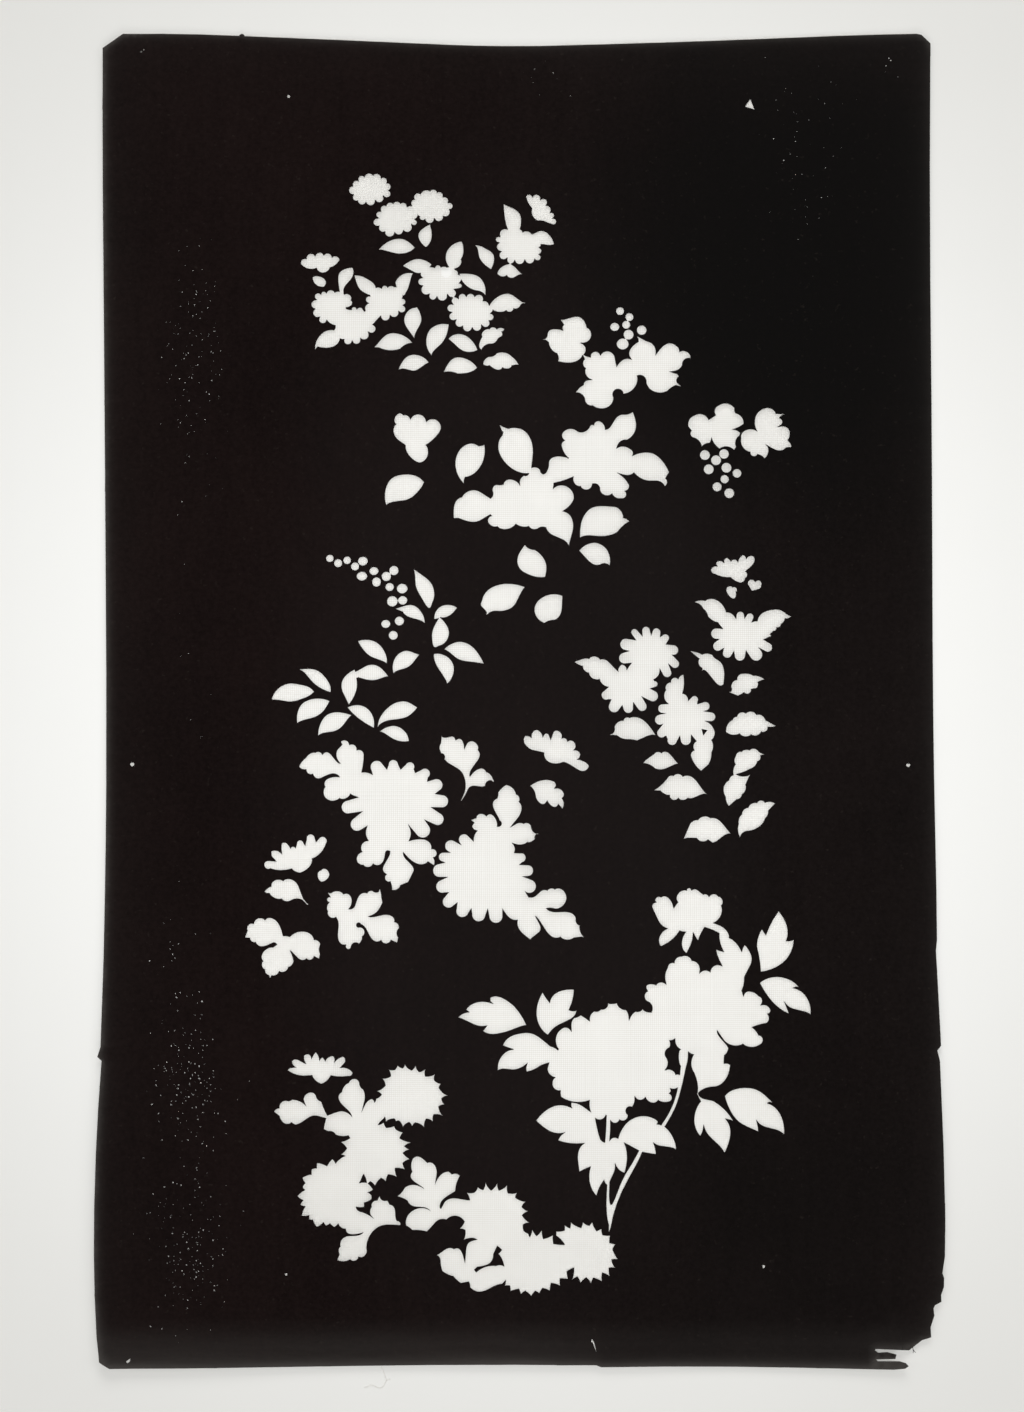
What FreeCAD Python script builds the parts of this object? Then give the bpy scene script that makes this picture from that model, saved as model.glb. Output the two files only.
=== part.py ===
import FreeCAD, Part
import math
import os

# A dyer's paper stencil: a sheet of tannin-stiffened mulberry paper with a cut flower pattern, its back
# covered with silk gauze that holds the pattern and a few free islands of paper together.
# Frame: origin at the middle of the underside, +X across the sheet, +Y up the sheet, +Z out of the paper
# face.  The sheet lies flat, gauze down.  All lengths in millimetres.

# ------------------------------------------------------------------ driving dimensions
sheet_width = 424.0          # across the widest part of the sheet
sheet_height = 670.0         # lower edge to upper edge
paper_thickness = 0.30       # three plies of mulberry paper
gauze_thickness = 0.10       # lacquered silk thread
gauze_reveal = 0.8           # gauze left showing past the paper along the upper edge
register_hole = 1.0          # radius of the punched register marks
smallest_island = 1.5        # square millimetres; a scrap below this would not stay on the gauze

# Everything is drawn on a 424 x 670 sheet.  On a sheet of another size the edges and the marks beside them
# stay in proportion to the sheet, and the flowers keep their shape, as large as the sheet has room for.
DRAWN_WIDTH = 424.0
DRAWN_HEIGHT = 670.0
scale_x = sheet_width / DRAWN_WIDTH
scale_y = sheet_height / DRAWN_HEIGHT
pattern_scale = min(scale_x, scale_y)


# ------------------------------------------------------------------ drawing helpers
def in_pattern(point):
    """A drawn point of the flower pattern, in its place on the sheet."""
    return FreeCAD.Vector(point[0] * pattern_scale, point[1] * pattern_scale, 0)


def on_edge(point):
    """A drawn point of the sheet's own outline."""
    return FreeCAD.Vector(point[0] * scale_x, point[1] * scale_y, 0)


def curve(points, place):
    """Two points: a straight cut.  Three: an arc through the middle one.  More: one smooth sweep."""
    spots = [place(p) for p in points]
    if len(spots) == 2:
        return Part.makeLine(spots[0], spots[1])
    if len(spots) == 3:
        return Part.Arc(spots[0], spots[1], spots[2]).toShape()
    sweep = Part.BSplineCurve()
    sweep.interpolate(Points=spots)
    return sweep.toShape()


def outline(runs, place=in_pattern):
    """Closed face from runs.  Each run starts at a corner and passes its points to the next run's corner."""
    edges = []
    for i, run in enumerate(runs):
        following = runs[(i + 1) % len(runs)][0]
        edges.append(curve(list(run) + [following], place))
    return Part.Face(Part.Wire(edges))


def lobes(points):
    """Closed face of round lobes: notch, crest, notch, crest ..."""
    return outline([points[i:i + 2] for i in range(0, len(points), 2)])


def spiky(points, swell=0.06):
    """Closed face of pointed petals: notch, tip, notch, tip ... each side swelling a little outwards."""
    runs = []
    count = len(points)
    for i, (x0, y0) in enumerate(points):
        x1, y1 = points[(i + 1) % count]
        runs.append([(x0, y0), ((x0 + x1) / 2 + swell * (y1 - y0), (y0 + y1) / 2 - swell * (x1 - x0))])
    return outline(runs)


def petal(notch, tip, notch_after, fullness=0.5):
    """Run of one long petal from its notch: straight flanks and a round end."""
    mx = (notch[0] + notch_after[0]) / 2
    my = (notch[1] + notch_after[1]) / 2
    reach = math.hypot(tip[0] - mx, tip[1] - my)
    ux = (tip[0] - mx) / reach
    uy = (tip[1] - my) / reach
    half = fullness * math.hypot(notch_after[0] - notch[0], notch_after[1] - notch[1])
    half = min(half, 0.55 * reach)
    side = 1 if ux * (notch[1] - my) - uy * (notch[0] - mx) > 0 else -1
    cx = tip[0] - half * ux
    cy = tip[1] - half * uy
    near = (cx - side * half * uy, cy + side * half * ux)
    far = (cx + side * half * uy, cy - side * half * ux)
    return [notch], [near, tip], [far]


def daisy(points, fullness=0.5):
    """Runs of long petals: notch, tip, notch, tip ... ending on a notch that the next run starts from."""
    runs = []
    for i in range(0, len(points) - 2, 2):
        runs.extend(petal(points[i], points[i + 1], points[i + 2], fullness))
    return runs


def berry(cx, cy, rx, ry=None):
    """Round or slightly oval berry."""
    ry = rx if ry is None else ry
    return lobes([(cx - rx, cy), (cx, cy + ry), (cx + rx, cy), (cx, cy - ry)])


def leaf(*runs):
    """Leaf or bud drawn from its corners."""
    return outline(runs)


cuts = []

# ------------------------------------------------------------------ upper left spray: small chrysanthemums
cuts += [
    lobes([(-84.4, 255.0), (-83.9, 257.3), (-81.5, 257.6), (-80.6, 260.2), (-78.5, 259.9), (-76.2, 261.6),
           (-74.0, 260.7), (-71.7, 261.4), (-69.9, 259.2), (-67.2, 258.7), (-66.9, 256.6), (-64.8, 254.6),
           (-66.0, 252.7), (-65.0, 250.4), (-68.8, 249.8), (-69.1, 247.0), (-72.8, 247.4), (-74.8, 244.7),
           (-77.5, 246.3), (-79.8, 245.1), (-81.8, 247.1), (-83.7, 247.5), (-84.0, 250.4), (-86.4, 252.9)]),
    lobes([(-71.3, 238.5), (-72.4, 241.0), (-70.1, 242.0), (-69.9, 244.4), (-67.4, 245.0), (-66.0, 246.6),
           (-63.8, 246.2), (-62.0, 247.2), (-60.0, 246.2), (-58.2, 246.6), (-56.6, 244.5), (-55.2, 245.0),
           (-53.0, 244.4), (-50.8, 241.0), (-52.4, 237.8), (-51.4, 236.6), (-54.4, 235.2), (-54.9, 231.6),
           (-58.4, 231.8), (-60.4, 229.7), (-62.8, 230.7), (-66.2, 228.7), (-68.0, 231.2), (-70.5, 231.8),
           (-71.0, 234.2), (-73.9, 236.2)]),
    lobes([(-53.8, 244.4), (-54.9, 246.7), (-53.2, 248.3), (-52.7, 251.0), (-50.0, 251.2), (-47.8, 253.0),
           (-45.2, 252.7), (-43.5, 253.5), (-41.4, 252.0), (-39.2, 251.8), (-38.4, 249.6), (-36.1, 248.8),
           (-35.8, 246.6), (-33.3, 244.6), (-35.0, 242.8), (-35.4, 240.0), (-38.2, 239.2), (-40.4, 236.6),
           (-42.8, 238.1), (-45.2, 235.6), (-47.6, 237.6), (-49.9, 237.5), (-50.6, 239.2), (-52.8, 241.6)]),
    lobes([(-103.0, 191.8), (-104.9, 194.4), (-102.2, 196.5), (-103.1, 198.9), (-100.0, 199.5), (-98.8, 200.9),
           (-97.2, 200.2), (-95.2, 201.7), (-92.9, 200.6), (-91.0, 201.0), (-87.9, 199.6), (-84.8, 198.8),
           (-84.4, 196.4), (-83.8, 194.7), (-84.9, 193.1), (-85.9, 192.6), (-86.9, 192.4), (-88.0, 188.0),
           (-92.6, 183.2), (-95.1, 184.2), (-96.8, 185.8), (-99.2, 184.3), (-100.5, 187.6), (-103.6, 188.5)]),
    lobes([(-77.7, 191.2), (-77.6, 193.5), (-76.1, 194.8), (-77.5, 196.4), (-75.4, 198.6), (-75.0, 201.6),
           (-72.0, 203.1), (-70.7, 203.2), (-69.4, 202.7), (-68.0, 204.1), (-66.2, 203.3), (-64.5, 204.0),
           (-62.9, 203.5), (-59.6, 202.0), (-58.5, 197.5), (-56.9, 195.5), (-58.1, 193.8), (-56.9, 191.8),
           (-60.5, 190.5), (-62.0, 187.6), (-64.8, 188.4), (-67.7, 185.7), (-69.7, 188.0), (-71.4, 186.1),
           (-73.4, 183.9), (-77.0, 186.0)]),
    lobes([(-86.9, 192.2), (-85.7, 191.7), (-84.6, 191.7), (-83.3, 193.1), (-81.7, 192.1), (-80.3, 192.8),
           (-78.8, 192.4), (-78.4, 191.6), (-77.8, 191.0), (-72.0, 189.0), (-73.4, 183.9), (-71.9, 181.7),
           (-75.8, 180.0), (-75.9, 177.0), (-79.7, 176.7), (-82.0, 173.7), (-83.9, 175.4), (-86.3, 173.5),
           (-88.2, 176.1), (-91.2, 177.0), (-93.4, 181.2), (-92.7, 182.2), (-92.7, 183.2), (-90.6, 188.0)]),
    lobes([(-49.0, 208.0), (-49.9, 209.6), (-48.8, 211.6), (-46.0, 213.4), (-42.6, 213.4), (-40.8, 214.7),
           (-39.3, 213.7), (-37.8, 214.0), (-36.3, 213.6), (-34.0, 213.4), (-32.0, 212.2), (-30.9, 211.5),
           (-30.4, 209.9), (-28.9, 207.4), (-29.8, 205.3), (-28.5, 204.2), (-29.3, 202.6), (-30.8, 202.2), (-32.4, 202.0), (-32.5, 198.1),
           (-36.0, 199.3), (-38.4, 195.9), (-41.3, 198.0), (-43.4, 196.4), (-45.3, 199.4), (-48.7, 199.8),
           (-48.8, 203.7), (-51.1, 205.8)]),
    lobes([(-33.3, 194.5), (-34.0, 197.0), (-30.5, 197.5), (-29.2, 200.0), (-26.5, 198.7), (-24.5, 200.2),
           (-22.2, 198.7), (-19.2, 199.5), (-17.8, 196.4), (-15.9, 196.0), (-14.8, 194.1), (-12.9, 192.2),
           (-13.9, 189.9), (-12.5, 187.3), (-14.7, 186.0), (-14.7, 183.7), (-18.7, 183.8), (-21.0, 180.6),
           (-23.4, 182.3), (-26.1, 180.3), (-28.3, 183.1), (-31.6, 183.4), (-31.7, 186.4), (-35.2, 187.6),
           (-34.0, 190.3), (-36.3, 192.4)]),
    lobes([(-10.3, 226.0), (-12.0, 227.9), (-9.7, 229.3), (-9.8, 231.5), (-5.4, 232.8), (-2.0, 234.2),
           (2.0, 231.9), (4.4, 232.2), (6.4, 230.9), (8.8, 229.0), (8.6, 226.0), (11.3, 225.0),
           (10.4, 223.7), (11.6, 221.8), (10.3, 220.2), (11.0, 217.7), (8.0, 217.5), (5.9, 215.2), (3.0, 217.2), (0.4, 214.8), (-2.1, 216.7), (-4.6, 215.2), (-6.0, 218.0), (-9.6, 218.1),
           (-9.2, 221.5), (-11.4, 223.4)]),
]

# flowers seen from the side
cuts += [
    outline([[(-110.3, 214.6), (-109.6, 217.2)], [(-107.6, 217.6), (-105.8, 220.2)], [(-103.0, 219.2),
             (-101.0, 220.9)], [(-98.6, 219.6), (-96.2, 220.4)], [(-94.4, 218.6), (-91.4, 218.6)],
             [(-90.4, 216.8), (-94.0, 213.2)], [(-95.4, 212.6), (-98.7, 210.1)], [(-102.4, 212.4),
             (-106.6, 212.2)]]),
    outline([[(3.3, 249.6), (4.8, 251.1)], [(6.8, 249.7), (9.2, 251.0)], [(10.8, 248.2), (13.0, 248.8)],
             [(13.7, 245.4), (15.8, 244.4)], [(15.8, 241.7), (17.9, 240.6)], [(17.0, 238.7),
             (18.9, 236.3)], [(17.4, 235.3), (15.2, 236.0), (12.4, 237.1)], [(9.6, 237.2), (6.9, 239.4)],
             [(6.3, 243.6), (4.6, 246.2)]]),
]

# leaves between the blooms
cuts += [
    leaf([(-71.5, 221.9), (-66.0, 226.8), (-59.0, 228.1), (-54.4, 225.6)],
         [(-52.2, 223.2), (-56.0, 220.6), (-62.0, 220.0), (-67.4, 221.4)]),
    leaf([(-45.0, 235.5), (-43.8, 230.6), (-44.6, 226.0)], [(-47.0, 223.2), (-50.2, 226.4),
         (-51.2, 230.0), (-48.6, 233.6)]),
    leaf([(-104.4, 208.2), (-100.4, 208.6), (-97.4, 206.4)], [(-98.3, 202.9), (-102.8, 204.2)]),
    leaf([(-84.0, 213.3), (-83.5, 209.0), (-85.3, 206.0), (-88.0, 202.4)], [(-88.0, 199.6)], [(-90.8, 200.6),
         (-91.5, 206.0), (-90.7, 210.7), (-87.7, 212.7)]),
    leaf([(-83.5, 209.2), (-80.0, 209.1), (-76.0, 207.3), (-73.3, 205.3)], [(-72.0, 203.1),
         (-73.0, 200.6)], [(-75.3, 198.6), (-77.6, 199.6), (-80.7, 202.0), (-82.4, 205.6)]),
    leaf([(-53.1, 210.3), (-57.6, 210.4), (-61.3, 208.0)], [(-62.7, 205.6), (-61.2, 201.6)],
         [(-58.3, 198.7), (-55.5, 202.7), (-54.3, 207.3)]),
    leaf([(-51.3, 193.3), (-52.6, 192.9)], [(-53.5, 192.8), (-56.6, 190.5), (-58.1, 186.6),
         (-56.2, 181.4)], [(-52.4, 176.6), (-50.8, 181.4), (-48.9, 185.6), (-49.6, 190.4)]),
    leaf([(-59.2, 213.9), (-56.0, 216.3), (-51.0, 217.9), (-47.0, 217.0)], [(-43.8, 214.9),
         (-46.2, 211.8), (-50.3, 209.9), (-55.0, 211.6)]),
    leaf([(-28.7, 226.9), (-34.3, 224.7), (-37.2, 220.0), (-37.0, 216.0)], [(-35.3, 213.1),
         (-31.8, 212.5)], [(-28.8, 217.3), (-27.7, 222.0)]),
    leaf([(-30.2, 210.2), (-25.0, 210.4), (-20.3, 209.0), (-17.2, 205.0)], [(-16.8, 198.7),
         (-19.3, 200.7)], [(-21.6, 201.2), (-25.3, 202.7)], [(-28.9, 206.2)]),
    leaf([(-14.9, 194.1), (-10.2, 199.0), (-4.7, 200.2), (-0.4, 197.6)], [(3.9, 195.0), (2.0, 194.7)],
         [(1.0, 193.8), (-0.6, 192.2)], [(-2.4, 192.1), (-4.4, 190.4)], [(-6.3, 191.0), (-9.6, 190.3)],
         [(-12.8, 191.2)]),
    leaf([(-22.2, 224.9), (-16.7, 223.3), (-12.6, 220.0), (-12.4, 216.0)], [(-13.9, 212.1),
         (-18.0, 215.0), (-20.4, 218.7), (-21.0, 222.0)]),
    leaf([(-8.1, 246.2), (-3.6, 244.3), (0.4, 241.3), (1.3, 236.6)], [(0.2, 231.0)], [(-5.2, 231.6),
         (-7.4, 238.0), (-7.9, 242.7)]),
    leaf([(5.0, 230.4), (8.0, 231.4), (11.6, 232.5), (15.6, 230.2)], [(17.9, 225.2), (15.4, 224.7)],
         [(12.6, 225.1), (10.4, 225.2)], [(8.3, 226.0), (6.4, 228.0)]),
    leaf([(-11.2, 210.1), (-8.8, 213.9), (-4.0, 215.2), (-0.6, 212.6)], [(2.2, 209.9), (0.0, 209.3)],
         [(-1.4, 208.6), (-3.8, 207.7)], [(-6.2, 208.9), (-8.8, 208.5)]),
    leaf([(-18.6, 171.0), (-20.0, 172.4), (-19.8, 175.4)], [(-18.8, 178.0), (-18.3, 180.6),
         (-16.3, 182.0)], [(-14.8, 182.2), (-12.9, 183.1)], [(-11.0, 182.2), (-9.0, 182.8)],
         [(-7.0, 182.1), (-7.2, 181.1)], [(-8.2, 180.4), (-7.9, 179.0)], [(-8.6, 177.8), (-9.4, 177.5)],
         [(-10.6, 176.2), (-12.2, 174.5)], [(-14.2, 174.1), (-16.6, 173.4)]),
    leaf([(-18.1, 163.9), (-17.0, 166.6)], [(-15.0, 168.0), (-12.6, 168.4)], [(-11.2, 169.6),
         (-8.0, 170.3), (-4.8, 169.3)], [(-3.4, 168.2), (-1.4, 166.4)], [(0.5, 163.3), (-1.4, 163.5)],
         [(-3.2, 163.1), (-4.2, 161.9), (-6.0, 161.5)], [(-8.0, 162.0), (-10.0, 160.8),
         (-12.4, 161.5)], [(-14.8, 163.0), (-17.0, 163.1)]),
    leaf([(-102.8, 170.8), (-101.4, 177.0), (-97.0, 180.9), (-92.4, 181.2)], [(-88.6, 180.0)],
         [(-89.9, 176.2), (-92.9, 172.6), (-98.4, 171.8)], [(-101.2, 172.2)]),
    leaf([(-73.2, 171.8), (-69.8, 176.2), (-66.2, 179.3), (-59.6, 179.3)], [(-53.2, 174.4),
         (-57.0, 173.4)], [(-59.6, 171.3), (-64.6, 170.5)], [(-69.0, 171.3), (-71.2, 172.0)]),
    leaf([(-43.8, 168.0), (-46.9, 176.0), (-44.9, 181.7), (-40.0, 184.5)], [(-35.1, 184.3),
         (-36.1, 178.6), (-38.6, 174.2), (-42.2, 170.8)]),
    leaf([(-35.7, 176.7), (-33.3, 178.9), (-28.4, 179.4), (-23.4, 176.2)], [(-20.4, 171.0),
         (-23.4, 169.9), (-28.0, 170.4), (-31.6, 173.0)]),
    leaf([(-60.8, 160.8), (-59.3, 164.4), (-55.4, 168.4), (-50.0, 168.5)], [(-45.0, 164.7),
         (-48.4, 162.4), (-52.6, 160.2), (-56.0, 160.8)], [(-58.2, 161.3)]),
    leaf([(-38.0, 159.4), (-36.2, 163.5), (-32.6, 167.2), (-26.6, 167.0)], [(-20.6, 162.0),
         (-24.4, 159.6), (-28.0, 158.9)], [(-30.7, 158.8), (-34.0, 159.8)]),
]

# ------------------------------------------------------------------ upper right: three-lobed leaves, berries
cuts += [
    outline([[(20.9, 187.0), (24.2, 187.4), (29.0, 188.6)], [(33.3, 186.2), (34.0, 184.6)], [(34.6, 183.0),
             (36.8, 179.2)], [(31.4, 175.0), (34.0, 172.0)], [(32.4, 168.6), (30.0, 165.9),
             (24.7, 164.7)], [(19.7, 165.5), (20.0, 167.8)], [(19.3, 169.4), (16.4, 171.6)],
             [(15.0, 175.1), (13.6, 176.2)], [(11.8, 176.7), (13.6, 177.4)], [(14.4, 178.9),
             (15.2, 181.2), (18.2, 182.2)], [(22.3, 181.4), (21.9, 182.6)], [(22.6, 184.2)]]),
    outline([[(32.3, 169.2), (34.6, 168.2)], [(36.3, 167.8), (37.6, 170.4)], [(41.3, 168.8), (44.4, 170.9)],
             [(48.6, 168.0), (49.0, 165.7)], [(49.5, 163.0), (51.4, 165.6), (54.0, 167.1)],
             [(57.0, 166.6), (55.8, 170.8), (57.3, 173.3)], [(60.3, 175.8), (60.2, 177.4)],
             [(59.6, 178.6), (62.6, 177.0)], [(66.7, 175.4), (69.2, 172.0)], [(69.1, 168.9), (71.2, 171.9), (75.3, 175.0)], [(79.6, 173.8), (81.0, 172.2)], [(81.3, 170.8),
             (84.4, 171.0)], [(87.0, 167.1), (83.9, 166.7)], [(82.7, 164.0), (80.9, 161.6)],
             [(79.2, 160.8)], [(76.2, 160.4)], [(79.2, 159.7), (80.6, 158.9)], [(81.0, 157.8),
             (79.8, 156.3)], [(80.2, 154.8)], [(82.5, 152.8), (81.0, 153.0)], [(79.4, 153.4),
             (77.0, 152.2)], [(75.3, 150.7), (70.7, 149.6), (66.4, 151.3)], [(64.3, 154.9), (64.1, 156.6),
             (63.1, 157.9)], [(60.0, 158.3), (59.4, 153.6), (56.0, 149.9)], [(52.8, 149.0),
             (48.6, 150.9)], [(48.0, 147.4), (47.1, 144.0)], [(44.2, 141.8), (40.0, 141.7)], [(37.4, 142.9),
             (34.4, 143.9)], [(33.4, 146.6), (31.4, 149.0)], [(28.6, 149.5), (30.2, 151.7)], [(32.7, 153.7), (33.3, 155.2)],
             [(34.4, 156.0)], [(37.1, 156.2), (34.7, 157.5), (33.6, 159.6)], [(33.7, 162.0), (32.4, 164.2)],
             [(33.2, 166.7)]]),
    outline([[(85.5, 132.5), (86.6, 136.9)], [(89.0, 138.4), (92.7, 138.9), (95.2, 137.2)],
             [(95.8, 136.0), (97.6, 137.2)], [(99.3, 138.4), (99.2, 142.0)], [(100.9, 143.4),
             (105.2, 144.4)], [(108.9, 142.0), (108.9, 140.6)], [(109.5, 139.5), (111.9, 138.2)],
             [(113.5, 134.0), (111.4, 132.6)], [(107.6, 131.2), (110.0, 130.7)], [(111.6, 129.6),
             (111.6, 128.8)], [(111.2, 128.0), (109.4, 125.4)], [(109.7, 122.3), (109.2, 121.6)], [(108.5, 120.6), (105.2, 122.4)],
             [(101.3, 121.3), (98.6, 123.9)], [(97.2, 127.1), (96.8, 125.2)], [(96.2, 124.2),
             (95.3, 124.1)], [(94.4, 123.9), (93.2, 123.2)], [(92.3, 122.0), (91.2, 124.9)], [(87.7, 127.0), (86.6, 128.4)],
             [(87.1, 130.4)]]),
    outline([[(112.0, 126.6), (113.4, 130.2), (116.7, 131.4)], [(120.3, 130.2), (118.9, 134.6),
             (120.2, 139.3)], [(123.7, 141.9), (127.6, 141.8)], [(129.7, 139.4), (132.2, 139.2)],
             [(134.6, 138.8), (132.2, 138.0)], [(131.4, 137.0), (133.0, 135.4)],
             [(132.6, 133.9)], [(130.4, 132.5)], [(133.0, 132.9), (136.4, 131.0)], [(136.6, 128.6), (136.4, 127.2)], [(135.6, 125.8), (136.9, 124.4)],
             [(137.5, 121.8), (135.4, 122.1)], [(133.4, 120.8), (129.6, 120.8), (126.6, 122.3)],
             [(124.4, 123.7), (125.9, 120.8), (125.2, 118.0)], [(123.9, 116.4), (122.2, 117.9)], [(120.3, 118.6), (118.4, 117.5)],
             [(116.7, 119.7), (114.2, 120.8)]]),
    berry(51.2, 191.3, 2.2),
    berry(55.9, 188.3, 2.2),
    berry(54.3, 184.3, 2.2),
    berry(48.5, 183.2, 2.5, 2.3),
    berry(55.5, 179.3, 2.7),
    berry(62.1, 181.6, 2.6),
    berry(52.5, 174.5, 3.2, 3.0),
    berry(93.9, 118.1, 2.6),
    berry(103.5, 118.7, 2.5),
    berry(99.5, 115.5, 2.6),
    berry(95.8, 110.9, 2.6),
    berry(104.7, 111.7, 2.6),
    berry(110.0, 108.9, 2.3),
    berry(103.8, 105.9, 2.2),
    berry(100.0, 102.0, 2.4),
    berry(106.1, 98.8, 2.6),
]

# ------------------------------------------------------------------ middle: camellias with their leaves
cuts += [
    outline([[(-61.7, 133.3), (-61.9, 137.4), (-60.0, 138.9)], [(-57.9, 138.0), (-55.7, 137.7)],
             [(-54.3, 135.9), (-51.2, 138.4)], [(-46.3, 134.6), (-44.6, 135.8), (-41.0, 135.5),
             (-38.8, 132.0), (-40.4, 128.0)], [(-46.2, 122.7), (-45.2, 119.8), (-46.0, 116.0),
             (-49.2, 113.7), (-53.0, 115.3), (-56.0, 118.9)], [(-56.9, 122.5), (-59.6, 124.4), (-62.3, 127.4),
             (-62.9, 131.1)]]),
    leaf([(-66.2, 92.1), (-63.6, 93.5), (-55.3, 95.0), (-50.4, 98.7)], [(-47.1, 103.9), (-50.6, 106.9),
         (-57.3, 107.9), (-63.4, 106.0), (-66.9, 99.3)]),
    leaf([(-27.0, 103.0), (-30.4, 107.5), (-31.7, 112.6), (-30.4, 119.0), (-25.6, 123.4)], [(-19.9, 122.5),
         (-18.4, 122.6)], [(-16.9, 123.2), (-16.8, 117.7), (-19.4, 111.0), (-23.4, 107.4)], [(-26.5, 106.4),
         (-27.0, 105.2)]),
    leaf([(-9.6, 133.3), (-7.4, 132.2)], [(-5.0, 131.4), (0.0, 131.6)], [(2.6, 130.7), (6.4, 126.0),
         (7.6, 119.0), (7.0, 113.0)], [(6.6, 108.8), (4.0, 108.4), (-0.6, 109.4), (-6.0, 113.2),
         (-10.1, 120.7)], [(-9.1, 126.6), (-8.0, 128.2)], [(-7.8, 129.2), (-8.6, 130.6)]),
    leaf([(-32.3, 85.6), (-32.4, 90.7), (-30.9, 94.9)], [(-28.3, 96.5), (-25.6, 99.2), (-21.8, 100.1),
         (-17.4, 98.2)], [(-14.0, 96.0), (-11.6, 92.0)], [(-12.6, 88.0), (-14.2, 87.3), (-16.0, 86.3)],
         [(-18.2, 85.0),
         (-22.0, 83.7), (-27.0, 84.6)], [(-30.0, 85.7)]),
    outline([[(-14.1, 95.8), (-12.8, 97.2)], [(-12.7, 98.9), (-12.8, 101.3)], [(-10.6, 102.9),
             (-8.9, 102.7)], [(-7.4, 103.1), (-5.6, 105.3), (-2.3, 105.3)], [(1.0, 102.4), (1.1, 105.7)],
             [(3.0, 107.5), (4.6, 107.6)], [(5.4, 108.9), (6.4, 111.2), (9.3, 111.7)], [(11.4, 109.3),
             (12.9, 108.3), (14.7, 110.4)], [(15.3, 113.2), (16.6, 116.3), (20.3, 117.4)], [(25.0, 116.5),
             (24.0, 110.0)], [(18.1, 103.6), (17.9, 102.0)], [(17.6, 100.8), (20.6, 102.6), (25.4, 101.6),
             (28.2, 96.3), (26.4, 92.6)], [(22.5, 89.5), (26.6, 87.0), (27.9, 81.6), (26.6, 75.6)],
             [(25.7, 71.4), (22.7, 74.9), (17.3, 77.3)], [(14.0, 81.0), (11.2, 81.2)], [(10.6, 80.9),
             (8.1, 80.1)], [(5.4, 81.6), (2.6, 81.4)], [(-1.0, 82.7), (-3.9, 80.6), (-7.4, 80.1)],
             [(-10.4, 81.5), (-13.0, 81.7)], [(-14.7, 83.1), (-15.2, 84.9)], [(-13.2, 87.0),
             (-15.0, 89.0), (-15.2, 93.0)]]),
    outline([[(25.2, 116.4), (23.0, 119.0)], [(21.9, 121.7), (21.9, 124.0)], [(23.3, 125.3), (21.9, 127.4)],
             [(23.0, 130.1), (26.0, 131.4)], [(29.7, 130.2), (31.9, 129.6), (34.6, 130.7)], [(36.0, 132.7),
             (37.0, 133.4)], [(38.0, 133.2), (39.2, 135.1)], [(41.6, 135.0), (43.1, 133.6)], [(43.8, 131.0),
             (45.2, 131.4), (47.2, 133.9), (49.6, 137.4)], [(52.7, 138.7), (55.6, 139.0)], [(57.7, 140.2),
             (59.1, 136.0), (59.4, 132.0), (57.4, 127.6)], [(54.7, 125.6), (52.0, 125.1)], [(50.4, 123.6)], [(49.4, 121.4),
             (52.4, 122.5)], [(56.4, 121.1), (57.9, 119.0)], [(57.4, 117.6), (62.0, 119.3), (67.4, 119.1),
             (72.6, 115.2)], [(76.1, 109.2), (74.9, 107.6)], [(74.2, 106.2), (75.0, 104.9)],
             [(73.7, 102.1), (70.2, 104.8), (65.3, 104.9), (60.7, 106.7)], [(58.2, 108.9), (56.2, 107.8),
             (53.0, 107.9)], [(49.8, 109.0), (53.0, 106.8)], [(55.9, 102.9), (55.4, 100.6)], [(53.8, 99.7), (54.5, 97.6)],
             [(51.7, 95.9), (49.0, 96.3)], [(47.2, 98.2), (43.6, 97.5)], [(41.0, 100.3), (40.6, 102.2)],
             [(37.4, 103.2), (34.4, 100.2)], [(31.4, 101.9), (28.4, 103.3)], [(27.8, 106.9),
             (23.8, 105.2)], [(18.0, 103.6), (21.4, 110.4)]]),
    leaf([(31.0, 75.9), (31.2, 81.3), (33.0, 87.2), (37.0, 91.3), (42.0, 92.3)], [(47.4, 92.0),
         (50.6, 91.0), (52.6, 88.4)], [(53.0, 86.3), (54.3, 85.9)], [(56.1, 84.5), (53.4, 82.6)],
         [(50.0, 78.9), (46.0, 77.2), (41.0, 76.7), (36.0, 77.1)]),
    leaf([(30.5, 69.4), (34.0, 72.5), (38.4, 73.7), (43.3, 71.8), (46.2, 67.0)], [(46.1, 61.9),
         (43.0, 63.0)], [(41.4, 62.4), (38.0, 62.5), (35.0, 64.7)]),
    leaf([(3.6, 72.6), (5.4, 70.8)], [(8.4, 70.1), (12.3, 66.8), (14.4, 62.6), (14.4, 58.6)], [(13.8, 56.0),
         (9.8, 56.0), (4.7, 57.6), (1.0, 60.2), (-0.4, 64.3), (0.9, 68.8)]),
    leaf([(3.9, 51.2), (0.3, 52.3), (-5.0, 52.9), (-11.0, 51.9), (-15.6, 49.0)], [(-18.0, 44.2),
         (-18.0, 41.0), (-16.0, 38.9)], [(-15.6, 37.0), (-13.4, 38.4)], [(-10.0, 38.9), (-6.4, 39.1),
         (-2.6, 40.8), (0.4, 45.3)]),
    leaf([(22.6, 46.8), (18.0, 47.7), (13.0, 46.4), (9.0, 42.6), (8.4, 38.6), (11.0, 34.2)], [(13.4, 32.9),
         (15.6, 34.0)], [(18.7, 34.5), (21.4, 37.0), (22.4, 41.6)]),
]

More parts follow.
